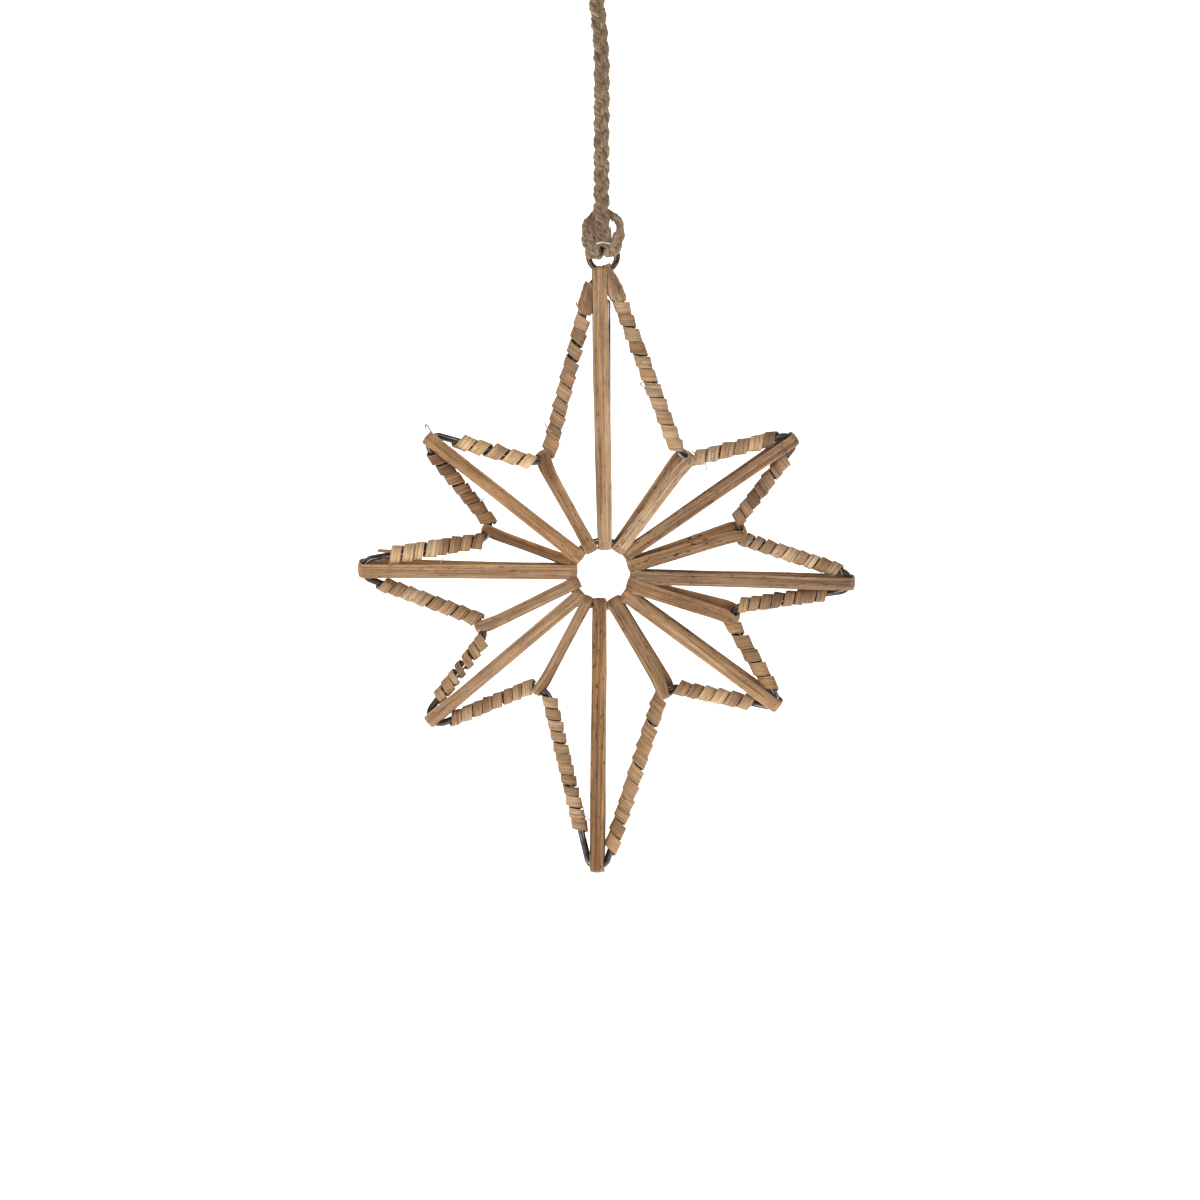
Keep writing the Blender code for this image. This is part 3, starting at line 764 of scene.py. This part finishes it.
def leg_wrap(number, settings):
    """The surface of the strip wound round one leg of the star wire."""
    before, after = leg_ends(number)
    turns, gaps, light, warmth, other = LEGS[number]
    chance = random.Random(400 + number)
    start = before.wrap_start(1)
    span = (after.sharp - before.sharp).length - after.wrap_start(0) - start
    shares = [chance.uniform(0.88, 1.12) for _ in range(turns + 1)]
    scale = span / (sum(shares) - OVERRUN)
    edges = [0.0]
    for share in shares:
        edges.append(edges[-1] + share * scale)
    tones = [clamp(light + chance.gauss(0, 0.16), 0.0, 1.15) for _ in range(turns + 2)]
    warmths = [warmth + chance.gauss(0, 0.22) for _ in range(turns + 2)]
    barks = [max(chance.gauss(0.25, 0.35), 0.0) for _ in range(turns + 2)]
    for turn, looks in other.items():
        tones[turn], warmths[turn], barks[turn] = looks
    opened = [gaps.get(k, chance.choice((0.3, 0.5, 0.6, 0.8))) * MM for k in range(turns + 2)]
    tilts = [chance.gauss(0, 0.06) for _ in range(turns + 2)]
    radius = settings.wrap_radius
    fuller = FULLER.get(number, 0.0) * MM
    axis = in_space(before.legs[1])
    outward = in_space(side_of(before.legs[1]))

    def at(values, turn):
        """A turn's own value, which changes to the next one's where they meet."""
        k = int(turn + CHANGE / 2)
        share = min((turn + CHANGE / 2 - k) / CHANGE, 1.0)
        return blend(values[max(k - 1, 0)], values[k], share)

    def place(along, across):
        turn = along * turns
        k = min(int(turn), turns - 1)
        pitch = edges[k + 1] - edges[k]
        angle = -math.tau * turn - math.pi / 2
        lean = math.atan(pitch / (math.tau * radius))
        width = pitch * math.cos(lean) - at(opened, turn)
        middle = start + blend(edges[k], edges[k + 1], turn - k) + pitch / 2
        middle += 0.10 * MM * wander(turn, number, 0.7) + 0.22 * MM * math.cos(angle)
        share = across - 0.5
        size = radius + 0.10 * MM * (wander(turn, number + 40, 0.35) + 1 - 4 * share**2)
        size += fuller * (1 - 0.75 * along) - 0.15 * width * share * math.cos(angle)
        size += at(tilts, turn) * width * share
        cross = turned(axis, outward * math.sin(angle) - FRONT * math.cos(angle), -lean)
        lifted = width * share * (1 + 0.03 * wander(turn, number + 80, 0.21))
        point = in_star(before.sharp + before.legs[1] * middle)
        return point + turned(outward, FRONT, angle) * size + cross * lifted

    def tint(along, across):
        turn = along * turns
        # Painted shade: each turn is darker along its edges, most along one side, as a thin shadow line
        # where it curls and meets the next turn.
        edge = max(abs(2 * across - 1) - 0.72, 0.0) / 0.28
        tone = at(tones, turn) - edge * (0.28 if across > 0.5 else 0.12)
        tone += 0.14 * wander(across, turn // 1 + number, 0.2)
        return (*cane_colour(settings, max(tone, 0.0), at(warmths, turn)), at(barks, turn))

    size = (turns * math.tau * radius, WRAP_WIDTH)
    return laid_grid(turns * WRAP_ROWS, WRAP_COLUMNS, place, size, 0.37 * number, tint)


def make_shoulders(settings):
    """The strip ends that lie along the wire on both sides of the top bend."""
    right = ((1.2, 126.8), (2.5, 123.2), (3.8, 119.6), (4.9, 116.2), (6.2, 112.9), (7.0, 111.0))
    left = ((-4.6, 119.2), (-5.5, 115.8), (-6.3, 112.2), (-7.1, 109.0), (-7.7, 106.4))
    rows = (
        ("shoulder_right", right, (1.2, 3.1), (0.56, -0.1, 1.0)),
        ("shoulder_left", left, (2.6, 3.0), (0.36, 0.2, 0.6)),
    )
    for name, line, radius, (light, warmth, bark) in rows:
        route = Route([in_star((u * MM, v * MM)) for u, v in line], samples=8)

        def place(along, across, route=route, radius=radius):
            _, side, face = route.axes(along * route.length)
            turn = math.radians(115) * (2 * across - 1) + 0.25 * wander(along, 3, 0.3)
            size = blend(*radius, min(along * 1.6, 1.0)) + 0.35 * wander(along * 3 + across, 3, 0.5)
            size *= MM * (1 - 0.25 * max(along * 4 - 3, 0.0) ** 2)
            return route.point(along * route.length) + turned(face, side, turn) * size

        def tint(along, across, light=light, warmth=warmth, bark=bark):
            tone = light + 0.3 * wander(along + across, 5, 0.4) + 0.25 * wander(across, 8, 0.13)
            return (*cane_colour(settings, clamp(tone, 0.0, 1.1), warmth), bark)

        size = (route.length, 10 * MM)
        strip_piece(laid_grid(24, 10, place, size, 3.3 + route.length, tint), name)


def make_wraps(settings):
    for number in range(COUNT):
        name = f"wrap_{number + 1}"
        strip_piece(leg_wrap(number, settings), f"cane_{name}", [f"leg_{name}"])
    make_shoulders(settings)
    make_splinters(settings)


def spoke_strip(number, settings):
    """The surface of the strip looped from the centre ring to a bend and back."""
    steel = settings_of("steel")
    corner = Corner(number)
    length = corner.length
    half = corner.width / 2
    ring_radius = steel.ring_diameter / 2
    over_wire = steel.wire_diameter / 2 + settings.thickness / 2 + 0.1 * MM
    ring_depth = over_wire + (settings.thickness + 0.02 * MM) * corner.layer
    ring_reach = ring_depth + (ring_radius - math.sqrt(ring_radius**2 - half**2)) * 0.8
    bend_depth = settings.wrap_radius + (0.75 * MM if corner.is_tip else 0.95 * MM)
    bend_reach = over_wire + 0.1 * MM
    knee = length * 0.6
    if corner.is_tip:
        sag = corner.radius - math.sqrt(max(corner.radius**2 - half**2, 0.0))
        bend_reach += max(sag - 1.2 * MM, 0.0) * 0.4
        narrow = (half + 2.6 * MM) / math.tan(corner.half_angle)
        knee = length - max(narrow - (corner.sharp - corner.crest).length, 5 * MM)
    if number == 0:
        bend_depth = 2.3 * MM
    fold = FOLDS.get(corner.name, USUAL_FOLD)
    at_ring, half_way, at_bend = WIDTHS.get(corner.name, USUAL_WIDTHS)
    light, warmth, bark, dark_end, stripes = SPOKES[number]
    back = (light * 0.75, warmth + 0.2)

    # Rows of the loop: 1 for the front run, 2 round the bend, -1 for the back run and -2 round the ring

    run = [length * k / RUN_ROWS for k in range(RUN_ROWS + 1)]
    half_turn = [math.pi * k / HALF_TURN_ROWS for k in range(1, HALF_TURN_ROWS)]
    outline = [(x, 1) for x in run] + [(angle, 2) for angle in half_turn]
    outline += [(x, -1) for x in reversed(run)] + [(angle, -2) for angle in half_turn]

    def row_at(along):
        return outline[int(along * len(outline) + 0.5) % len(outline)]

    def depth_at(x):
        share = min(x / knee, 1.0)
        return blend(ring_depth, bend_depth, share * share * (3 - 2 * share))

    def place(along, across):
        value, part = row_at(along)
        share = across - 0.5
        crown = 0.32 * MM * (1 - 4 * share**2)
        if abs(part) == 1:
            x = value
            bow = 0.25 * MM * wander(x, number + (20 if part > 0 else 50), 30 * MM)
            depth = (depth_at(x) + crown + bow * math.sin(math.pi * x / length)) * part
            lay = blend(corner.ring_lay, corner.lay, x / length) * part
        elif part == 2:
            x = length + (bend_reach + crown) * math.sin(value)
            depth = (bend_depth + crown) * math.cos(value)
            lay = corner.lay * math.cos(value)
        else:
            x = -(ring_reach + crown) * math.sin(value)
            depth = -(ring_depth + crown) * math.cos(value)
            lay = -corner.ring_lay * math.cos(value)
        t = clamp(x / length)
        wide = at_ring * (1 - 2 * t) * (1 - t) + half_way * 4 * t * (1 - t) + at_bend * t * (2 * t - 1)
        wide += 0.05 * wander(x + (0 if depth > 0 else 1.0), number, 22 * MM)
        sway = 0.22 * MM * wander(x + (0 if depth > 0 else 2.0), number + 9, 35 * MM)
        sideways = share * corner.width * wide + sway - lay
        flat = corner.on_ring + corner.along * x + corner.across * sideways
        if not corner.is_tip:
            near = clamp(1 - (length - x) / (9 * MM))
            in_front = {1: 1.0, 2: (1 + math.cos(value)) / 2}.get(part, 0.0)
            flat -= corner.across * share * corner.width * 0.25 * near**5
            flat += (corner.legs[1] * fold - corner.along * 0.2) * MM * near**2 * in_front
        return in_star(flat, depth)

    def tint(along, across):
        value, part = row_at(along)
        tone, warm = (light, warmth) if part > 0 else back
        x = value if abs(part) == 1 else 0.0
        flecks = bark
        tone += 0.12 * wander(along, number + 3, 0.06)
        tone += 0.22 * wander(2 * across + x * 14, number + 33, 0.55)
        for low, high, lighter, warmer in stripes:
            inside = clamp(min((2 * across - 1 - low) * 8, (high - 2 * across + 1) * 8))
            tone += lighter * inside * (0.8 + 0.6 * wander(x, number + low * 10, 18 * MM))
            warm += warmer * inside
            flecks += max(-lighter, 0.0) * 1.5 * inside
        if part == 1:
            tone -= dark_end * 0.5 * max((value / length - 0.6) / 0.4, 0.0)
        return (*cane_colour(settings, clamp(tone, 0.0, 1.1), warm), flecks)

    size = (2 * length + 12 * MM, corner.width)
    return laid_grid(len(outline), SPOKE_COLUMNS, place, size, 0.29 * number + 7, tint, closed=True)


def make_spokes(settings):
    for number, (name, *_) in enumerate(CORNERS):
        strip_piece(spoke_strip(number, settings), f"cane_{name}", [f"spoke_strip_{name}"], 0.15 * MM)


def strip_under(point):
    """The nearest place in the middle of a wrap or spoke, which a splinter comes off."""
    places = []
    for number in range(COUNT):
        corner, after = leg_ends(number)
        for start, end in ((corner.on_ring, corner.strip_end), (corner.sharp, after.sharp)):
            share = (point - start).dot(end - start) / (end - start).length_squared
            places.append(start.lerp(end, clamp(share, 0.05, 0.95)))
    return min(places, key=lambda place: (place - point).length)


def make_splinters(settings):
    """Loose splinters of the strip, and short fibres frayed off the edges of its turns."""
    chance = random.Random(31)
    slivers = []
    for thick, points in SPLINTERS:
        first = Vector(points[0][:2]) * MM
        line = [in_star(strip_under(first).lerp(first, 0.35), 1.8 * MM)]
        for u, v, *depth in points:
            line.append(in_star((u * MM, v * MM), (depth[0] if depth else SPLINTER_DEPTH) * MM))
        slivers.append((thick, line))
    for number in range(COUNT):
        before, after = leg_ends(number)
        across = in_space(side_of(before.legs[1]))
        for _ in range(FRAYS):
            share = chance.uniform(0.2, 0.85)
            side = chance.choice((-1, 1))
            middle = in_star(before.sharp.lerp(after.sharp, share), chance.uniform(0.2, 1.6) * MM)
            begin = middle + across * side * (settings.wrap_radius + 0.1 * MM)
            lie = across * side * chance.uniform(0.5, 1.5) + FRONT * chance.uniform(-0.5, 0.8)
            lie += in_space(before.legs[1]) * chance.uniform(-1.2, 1.2)
            curl = Vector([chance.uniform(-0.4, 0.4) for _ in range(3)])
            points = [begin + (lie * t + curl * t * t) * MM for t in (0.0, 0.5, 1.0)]
            slivers.append((chance.uniform(0.10, 0.22), points))
    bm = new_piece_mesh()
    for number, (thick, points) in enumerate(slivers):
        tint = (*cane_colour(settings, chance.uniform(0.05, 0.65), 0.3), 0.0)
        route = Route(points, samples=4)
        radius = thick * MM * 0.62
        join_into(bm, tube(route, radius, 0.4 * MM, 5, lambda a, b, c=tint: c, number, 1.2 * MM))
    finish_piece(bm, "cane_splinters", "split_cane")


# Jute


def from_ring(x, height, depth):
    """A point in space from the middle of the hanging ring, in millimetres."""
    return Vector((x * MM, -depth * MM, RING_HEIGHT + height * MM))


def cord_route():
    points = [from_ring(*point) for point in CORD_FROM_RING]
    faces = [FRONT] * len(points)
    for x, height in CORD_TO_LOOP:
        points.append(in_space((x * MM, height * MM)))
        out = in_space((x, height + 12.0)).normalized()
        faces.append(FRONT.lerp(out, clamp((height + 40.0) / 12.0)))
    return Route(points, faces)


def hitch_route():
    points = [from_ring(*row[:3]) for row in HITCH_ROUTE]
    faces = [(fx, -fd, fh) for *_, (fx, fh, fd) in HITCH_ROUTE]
    return Route(points, faces)


def strand_route(route, settings, number, width, thickness, start=0.0):
    """One of the three strands of the flat braid, as it crosses from side to side."""
    strand = settings.strand_diameter * width / settings.cord_width
    sideways = (width - strand) / 2
    outward = (thickness - strand) / 2
    steps = max(round(route.length / (0.6 * MM)), 8)
    points, faces = [], []
    for k in range(steps + 1):
        along = route.length * k / steps
        _, side, face = route.axes(along, 1.2 * MM)
        turn = math.tau * ((along + start) / settings.braid_pitch + number / 3)
        loose = 0.12 * MM * wander(along, number + start * 1000, 9 * MM)
        point = route.point(along) + side * (sideways * math.sin(turn) + loose)
        points.append(point + face * (outward * math.sin(2 * turn)))
        faces.append(face)
    return Route(points, faces, samples=1)


def yarn_route(strand, settings, number, seed, share):
    """One yarn of a strand, twisted round its middle."""
    steps = max(round(strand.length / (0.5 * MM)), 8)
    radius = settings.strand_diameter * share * 0.25
    points, faces = [], []
    for k in range(steps + 1):
        along = strand.length * k / steps
        _, side, face = strand.axes(along, 0.9 * MM)
        turn = math.tau * (along / settings.yarn_pitch + number / 3) + 0.5 * wander(along, seed, 8 * MM)
        points.append(strand.point(along) + turned(side, face, turn) * radius)
        faces.append(face)
    return Route(points, faces, samples=1)


def braid(name, route, settings, width, thickness, nodes, start=0.0, light=1.0):
    """A flat braid of three strands, each of three twisted yarns."""
    bm = new_piece_mesh()
    share = width / settings.cord_width
    yarn_radius = settings.strand_diameter * share * 0.29
    for number in range(3):
        strand = strand_route(route, settings, number, width, thickness, start)
        for yarn in range(3):
            seed = number * 5 + yarn + start * 100
            line = yarn_route(strand, settings, yarn, seed, share)

            def thick(along, seed=seed):
                uneven = 0.16 * wander(along, seed + 2, 2.5 * MM) + 0.10 * wander(along, seed + 5, 9 * MM)
                return yarn_radius * (1 + uneven)

            def tint(along, across, seed=seed, length=line.length):
                shade = 1.0 + 0.5 * wander(along * length, seed + 11, 5 * MM)
                shade += 0.35 * wander(along * length, seed, 1 * MM)
                shade *= light * (1.0 + 0.35 * wander(across, seed + 3, 0.4))
                return (shade, shade * 0.99, shade * 0.97, 0.0)

            join_into(bm, tube(line, thick, 0.7 * MM, 8, tint, seed * 0.21, 0.8 * MM))
    return finish_piece(bm, name, "jute", nodes)


def make_cord(settings):
    """The cord and its hitch, with the cord's route."""
    route = cord_route()
    width, thickness = settings.cord_width, settings.cord_thickness
    cord = braid("jute_cord", route, settings, width, thickness, ["cord"])
    width, thickness = settings.hitch_width, settings.hitch_thickness
    hitch = braid("jute_hitch", hitch_route(), settings, width, thickness, ["cord_hitch"], 5 * MM, 1.1)
    return route, cord, hitch


def stray_fibres(name, route, width, thickness, amount, seed):
    """Loose fibres that stand out of the braid."""
    chance = random.Random(seed)
    bm = new_piece_mesh()
    for _ in range(amount):
        along = chance.uniform(0.0, route.length)
        tangent, side, face = route.axes(along, 1.0 * MM)
        turn = chance.uniform(0.0, math.tau)
        begin = route.point(along) + turned(side * width * 0.42, face * thickness * 0.40, turn)
        length = chance.uniform(1.5, 5.5) * MM
        lie = tangent * chance.uniform(-1.0, 1.0) + turned(side, face, turn) * chance.uniform(0.1, 0.75)
        curl = Vector([chance.uniform(-1, 1) for _ in range(3)]) * 0.45
        points = [begin + (lie * t + curl * t * t) * length for t in (0.0, 0.3, 0.65, 1.0)]
        radius = chance.uniform(0.035, 0.075) * MM
        tint = (*[chance.uniform(1.0, 1.6)] * 3, 0.0)
        fibre = Route(points, [face] * 4, samples=2)
        join_into(bm, tube(fibre, radius, length / 5, 3, lambda a, b, c=tint: c, along))
    finish_piece(bm, name, "jute")


def make_fuzz(settings):
    width, thickness = settings.cord_width, settings.cord_thickness
    stray_fibres("cord_fibres", cord_route(), width, thickness, settings.fibres, 17)
    width, thickness = settings.hitch_width, settings.hitch_thickness
    stray_fibres("hitch_fibres", hitch_route(), width, thickness, settings.fibres // 2, 23)


def make_staples(settings):
    """The staples in the hitch and in the neck of the loop, each bent from one wire."""
    pieces = []
    radius = settings.staple_wire / 2
    lower = from_ring(0.1, 6.3, 7.0)
    upper = Vector((0.0, -3.3 * MM, -35.0 * MM))
    for name, middle, half, arch in (("hitch", lower, 2.5 * MM, 0.5 * MM), ("loop", upper, 6.9 * MM, 0.0)):
        ends = []
        for side in (-1, 1):
            corner = middle + Vector((side * half, 0.0, -arch))
            ends.append([corner + Vector((0.0, depth * MM, 0.0)) for depth in (4.6, 0.5, 0.0)])
        across = [middle + Vector((half * x, 0.0, -arch * x * x)) for x in (-0.66, -0.33, 0.0, 0.33, 0.66)]
        points = [*ends[0], *across, *reversed(ends[1])]
        route = Route(points, [(0, 0, 1)] * len(points), samples=6)
        bm = tube(route, radius, 0.25 * MM, taper=radius)
        pieces.append(finish_piece(bm, f"staple_{name}_wire", "staple_steel", [f"staple_{name}"]))
    return pieces


# What a user may change


class OrnamentCane(bpy.types.PropertyGroup):
    """Sizes and colours of the cane strip."""

    thickness: bpy.props.FloatProperty(
        name="Thickness", description="Thickness of the strip", default=0.0006, unit="LENGTH"
    )
    wrap_radius: bpy.props.FloatProperty(
        name="Wrap radius", description="Middle of the strip from the middle of the wire",
        default=0.0027, unit="LENGTH",
    )
    cane_dark: bpy.props.FloatVectorProperty(
        name="Dark cane", description="Darkest strips",
        subtype="COLOR", size=4, default=linear(118, 84, 56),
    )
    cane_tan: bpy.props.FloatVectorProperty(
        name="Tan cane", description="Usual strips",
        subtype="COLOR", size=4, default=linear(183, 146, 110),
    )
    cane_cream: bpy.props.FloatVectorProperty(
        name="Cream cane", description="Palest strips",
        subtype="COLOR", size=4, default=linear(220, 190, 153),
    )
    # Colour of a strip's edges: partly the paler cut edge, partly a painted highlight.
    pale_edge_and_highlight: bpy.props.FloatVectorProperty(
        name="Pale edge", description="Cut edges of a strip",
        subtype="COLOR", size=4, default=linear(214, 184, 144),
    )
    bark: bpy.props.FloatVectorProperty(
        name="Bark", description="Specks and cracks",
        subtype="COLOR", size=4, default=linear(70, 48, 32),
    )
    bark_streak: bpy.props.FloatVectorProperty(
        name="Bark streak", description="Long darker streaks",
        subtype="COLOR", size=4, default=linear(120, 86, 58),
    )


class OrnamentSteel(bpy.types.PropertyGroup):
    """Sizes and colours of the wire, rings, rods and staples."""

    wire_diameter: bpy.props.FloatProperty(
        name="Wire", description="Diameter of the star's wire", default=0.0028, unit="LENGTH"
    )
    ring_diameter: bpy.props.FloatProperty(
        name="Centre ring", description="Centre ring at the middle of its wire",
        default=0.0272, unit="LENGTH",
    )
    hanging_diameter: bpy.props.FloatProperty(
        name="Hanging ring", description="Hanging ring at the middle of its wire",
        default=0.0115, unit="LENGTH",
    )
    hanging_wire: bpy.props.FloatProperty(
        name="Hanging ring wire", description="Diameter of its wire", default=0.0025, unit="LENGTH"
    )
    rod_diameter: bpy.props.FloatProperty(
        name="Rods", description="Diameter of the two rods", default=0.0026, unit="LENGTH"
    )
    staple_wire: bpy.props.FloatProperty(
        name="Staple", description="Diameter of staple wire", default=0.0007, unit="LENGTH"
    )
    steel: bpy.props.FloatVectorProperty(
        name="Steel", description="Clean wire", subtype="COLOR", size=4, default=linear(86, 78, 74)
    )
    oxide: bpy.props.FloatVectorProperty(
        name="Oxide", description="Dull patches", subtype="COLOR", size=4, default=linear(56, 44, 36)
    )
    # Colour of the painted highlights along the wire.
    painted_glints: bpy.props.FloatVectorProperty(
        name="Painted glints", description="Bright lines",
        subtype="COLOR", size=4, default=linear(224, 216, 208),
    )
    staple: bpy.props.FloatVectorProperty(
        name="Staple steel", description="Plated staple",
        subtype="COLOR", size=4, default=linear(232, 230, 224),
    )
    staple_worn: bpy.props.FloatVectorProperty(
        name="Worn staple", description="Where the plating is dull",
        subtype="COLOR", size=4, default=linear(176, 172, 160),
    )


class OrnamentJute(bpy.types.PropertyGroup):
    """Sizes and colours of the braided cord."""

    cord_width: bpy.props.FloatProperty(
        name="Width", description="Width of the flat braid", default=0.0068, unit="LENGTH"
    )
    cord_thickness: bpy.props.FloatProperty(
        name="Depth", description="Thickness of the braid", default=0.0044, unit="LENGTH"
    )
    hitch_width: bpy.props.FloatProperty(
        name="Hitch width", description="Width in the hitch", default=0.0066, unit="LENGTH"
    )
    hitch_thickness: bpy.props.FloatProperty(
        name="Hitch depth", description="Thickness in the hitch", default=0.0033, unit="LENGTH"
    )
    strand_diameter: bpy.props.FloatProperty(
        name="Strand", description="One of the three strands", default=0.0030, unit="LENGTH"
    )
    braid_pitch: bpy.props.FloatProperty(
        name="Braid pitch", description="One round of a strand", default=0.0205, unit="LENGTH"
    )
    yarn_pitch: bpy.props.FloatProperty(
        name="Yarn twist", description="One turn of a yarn", default=0.0075, unit="LENGTH"
    )
    fibres: bpy.props.IntProperty(name="Fibres", description="Loose fibres on the cord", default=640)
    jute_dark: bpy.props.FloatVectorProperty(
        name="Dark jute", description="Between the fibres",
        subtype="COLOR", size=4, default=linear(66, 48, 34),
    )
    jute_brown: bpy.props.FloatVectorProperty(
        name="Brown jute", description="Most fibres",
        subtype="COLOR", size=4, default=linear(160, 132, 106),
    )
    jute_straw: bpy.props.FloatVectorProperty(
        name="Straw jute", description="Palest fibres",
        subtype="COLOR", size=4, default=linear(226, 198, 158),
    )


class OrnamentStage(bpy.types.PropertyGroup):
    """The board, lights and camera."""

    board_glow: bpy.props.FloatProperty(
        name="Board glow", description="Light given off by the board", default=1.0
    )
    world_light: bpy.props.FloatProperty(
        name="World light", description="Strength of the white world", default=0.39
    )
    key_light: bpy.props.FloatProperty(
        name="Key light", description="Power of the soft light above", default=7.0, unit="POWER"
    )
    fill_light: bpy.props.FloatProperty(
        name="Fill light", description="Power of the soft front light", default=2.4, unit="POWER"
    )
    floor_height: bpy.props.FloatProperty(
        name="Floor height", description="Height of the floor",
        default=-0.72, unit="LENGTH", subtype="DISTANCE",
    )
    distance: bpy.props.FloatProperty(
        name="Camera distance", description="Camera to star",
        default=3.0, unit="LENGTH", subtype="DISTANCE",
    )
    lens: bpy.props.FloatProperty(
        name="Lens", description="Focal length in millimetres", default=220.3, subtype="NONE"
    )
    elevation: bpy.props.FloatProperty(
        name="Camera elevation", description="Camera above the level",
        default=math.radians(7), subtype="ANGLE",
    )


class ORNAMENT_OT_wire(bpy.types.Operator):
    """Make the bent star wire, the two rings and the two rods"""

    bl_idname = "ornament.wire"
    bl_label = "Wire, rings and rods"

    def execute(self, context):
        settings = settings_of("steel")
        make_star_wire(settings)
        make_rings(settings)
        make_rods(settings)
        return {"FINISHED"}


class ORNAMENT_OT_wraps(bpy.types.Operator):
    """Wind the cane strip round the sixteen legs"""

    bl_idname = "ornament.wraps"
    bl_label = "Leg wraps"

    def execute(self, context):
        make_wraps(settings_of("cane"))
        return {"FINISHED"}


class ORNAMENT_OT_spokes(bpy.types.Operator):
    """Loop the sixteen spoke strips from the centre ring to the bends"""

    bl_idname = "ornament.spokes"
    bl_label = "Spoke strips"

    def execute(self, context):
        make_spokes(settings_of("cane"))
        return {"FINISHED"}


class ORNAMENT_OT_cord(bpy.types.Operator):
    """Braid the jute cord and its hitch, and close them with their staples"""

    bl_idname = "ornament.cord"
    bl_label = "Cord, hitch and staples"

    def execute(self, context):
        settings = settings_of("jute")
        route, cord, hitch = make_cord(settings)
        staples = make_staples(settings_of("steel"))
        path = [route.point(route.length * k / PATH_STEPS) for k in range(PATH_STEPS + 1)]
        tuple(path[0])
        return {"FINISHED"}


class ORNAMENT_OT_fibres(bpy.types.Operator):
    """Scatter the loose jute fibres over the cord and the hitch"""

    bl_idname = "ornament.fibres"
    bl_label = "Loose fibres"

    def execute(self, context):
        make_fuzz(settings_of("jute"))
        return {"FINISHED"}


class ORNAMENT_OT_stage(bpy.types.Operator):
    """Set up the white board, the soft lights and the camera"""

    bl_idname = "ornament.stage"
    bl_label = "Stage"

    def execute(self, context):
        settings = settings_of("stage")
        make_board(settings)
        make_lights(context.scene, settings)
        make_camera(context.scene, settings)
        return {"FINISHED"}


def make_board(settings):
    """A floor that curves up into a back wall."""
    floor, bend = settings.floor_height, 0.5
    size, front, flat = 8.0, -1.6, 5.2

    def place(along, across):
        run = along * size
        x = (across - 0.5) * size
        if run < flat:
            return Vector((x, run + front, floor))
        turn = min((run - flat) / bend, math.pi / 2)
        rise = max(run - flat - bend * math.pi / 2, 0.0)
        height = floor + bend * (1 - math.cos(turn)) + rise
        return Vector((x, flat + front + bend * math.sin(turn), height))

    mesh_object(laid_grid(50, 2, place, (size, size)), "board", "board")


def make_lights(scene, settings):
    """A white world, which looks brighter than the light it gives, and two soft lamps."""
    world = bpy.data.worlds.new("white_room")
    world.use_nodes = True
    tree = world.node_tree
    light, seen = tree.nodes["Background"], tree.nodes.new("ShaderNodeBackground")
    for room, strength in ((light, settings.world_light), (seen, settings.board_glow)):
        room.inputs["Color"].default_value = (1.0, 1.0, 1.0, 1.0)
        room.inputs["Strength"].default_value = strength
    path, either = tree.nodes.new("ShaderNodeLightPath"), tree.nodes.new("ShaderNodeMixShader")
    tree.links.new(path.outputs["Is Camera Ray"], either.inputs[0])
    tree.links.new(light.outputs[0], either.inputs[1])
    tree.links.new(seen.outputs[0], either.inputs[2])
    tree.links.new(either.outputs[0], tree.nodes["World Output"].inputs[0])
    scene.world = world
    middle = Vector((0.0, 0.0, STAR_HEIGHT))
    lights = (
        ("soft_key", (-0.7, -0.9, 1.2), 0.9, settings.key_light),
        ("soft_fill", (0.9, -1.6, 0.1), 1.2, settings.fill_light),
    )
    for name, place, size, power in lights:
        lamp = bpy.data.lights.new(name, "AREA")
        lamp.shape = "SQUARE"
        lamp.size = size
        lamp.energy = power
        light = linked(name, lamp)
        light.location = middle + Vector(place)
        light.rotation_euler = (middle - light.location).to_track_quat("-Z", "Y").to_euler()
    scene.view_settings.view_transform = "Standard"


def make_camera(scene, settings):
    data = bpy.data.cameras.new("camera")
    data.sensor_width = 36.0
    data.lens = settings.lens
    data.clip_start = 0.05
    data.clip_end = 20.0
    camera = linked("camera", data)
    target = Vector((-1.2 * MM, 0.0, STAR_HEIGHT - 10.7 * MM))
    back = Vector((0.0, -math.cos(settings.elevation), math.sin(settings.elevation)))
    camera.location = target + back * settings.distance
    camera.rotation_euler = (-back).to_track_quat("-Z", "Y").to_euler()
    scene.camera = camera


GROUPS = {"cane": OrnamentCane, "steel": OrnamentSteel, "jute": OrnamentJute, "stage": OrnamentStage}
OPERATORS = (
    ORNAMENT_OT_wire,
    ORNAMENT_OT_wraps,
    ORNAMENT_OT_spokes,
    ORNAMENT_OT_cord,
    ORNAMENT_OT_fibres,
    ORNAMENT_OT_stage,
)


class ORNAMENT_PT_panel(bpy.types.Panel):
    """Lists the ornament's pieces and their settings"""

    bl_idname = "ORNAMENT_PT_panel"
    bl_label = "Woven star ornament"
    bl_space_type = "VIEW_3D"
    bl_region_type = "UI"
    bl_category = "Ornament"

    def draw(self, context):
        for operator in OPERATORS:
            self.layout.operator(operator.bl_idname)
        for kind, group in GROUPS.items():
            box = self.layout.box()
            for name in group.__annotations__:
                box.prop(settings_of(kind), name)


def register():
    for kind, group in GROUPS.items():
        bpy.utils.register_class(group)
        setattr(bpy.types.Scene, f"ornament_{kind}", bpy.props.PointerProperty(type=group))
    for made in (*OPERATORS, ORNAMENT_PT_panel):
        bpy.utils.register_class(made)


def unregister():
    for made in reversed((*OPERATORS, ORNAMENT_PT_panel)):
        bpy.utils.unregister_class(made)
    for kind, group in GROUPS.items():
        delattr(bpy.types.Scene, f"ornament_{kind}")
        bpy.utils.unregister_class(group)


def main():
    register()
    bpy.ops.ornament.wire()
    bpy.ops.ornament.wraps()
    bpy.ops.ornament.spokes()
    bpy.ops.ornament.cord()
    bpy.ops.ornament.fibres()
    bpy.ops.ornament.stage()


if __name__ == "__main__":
    main()
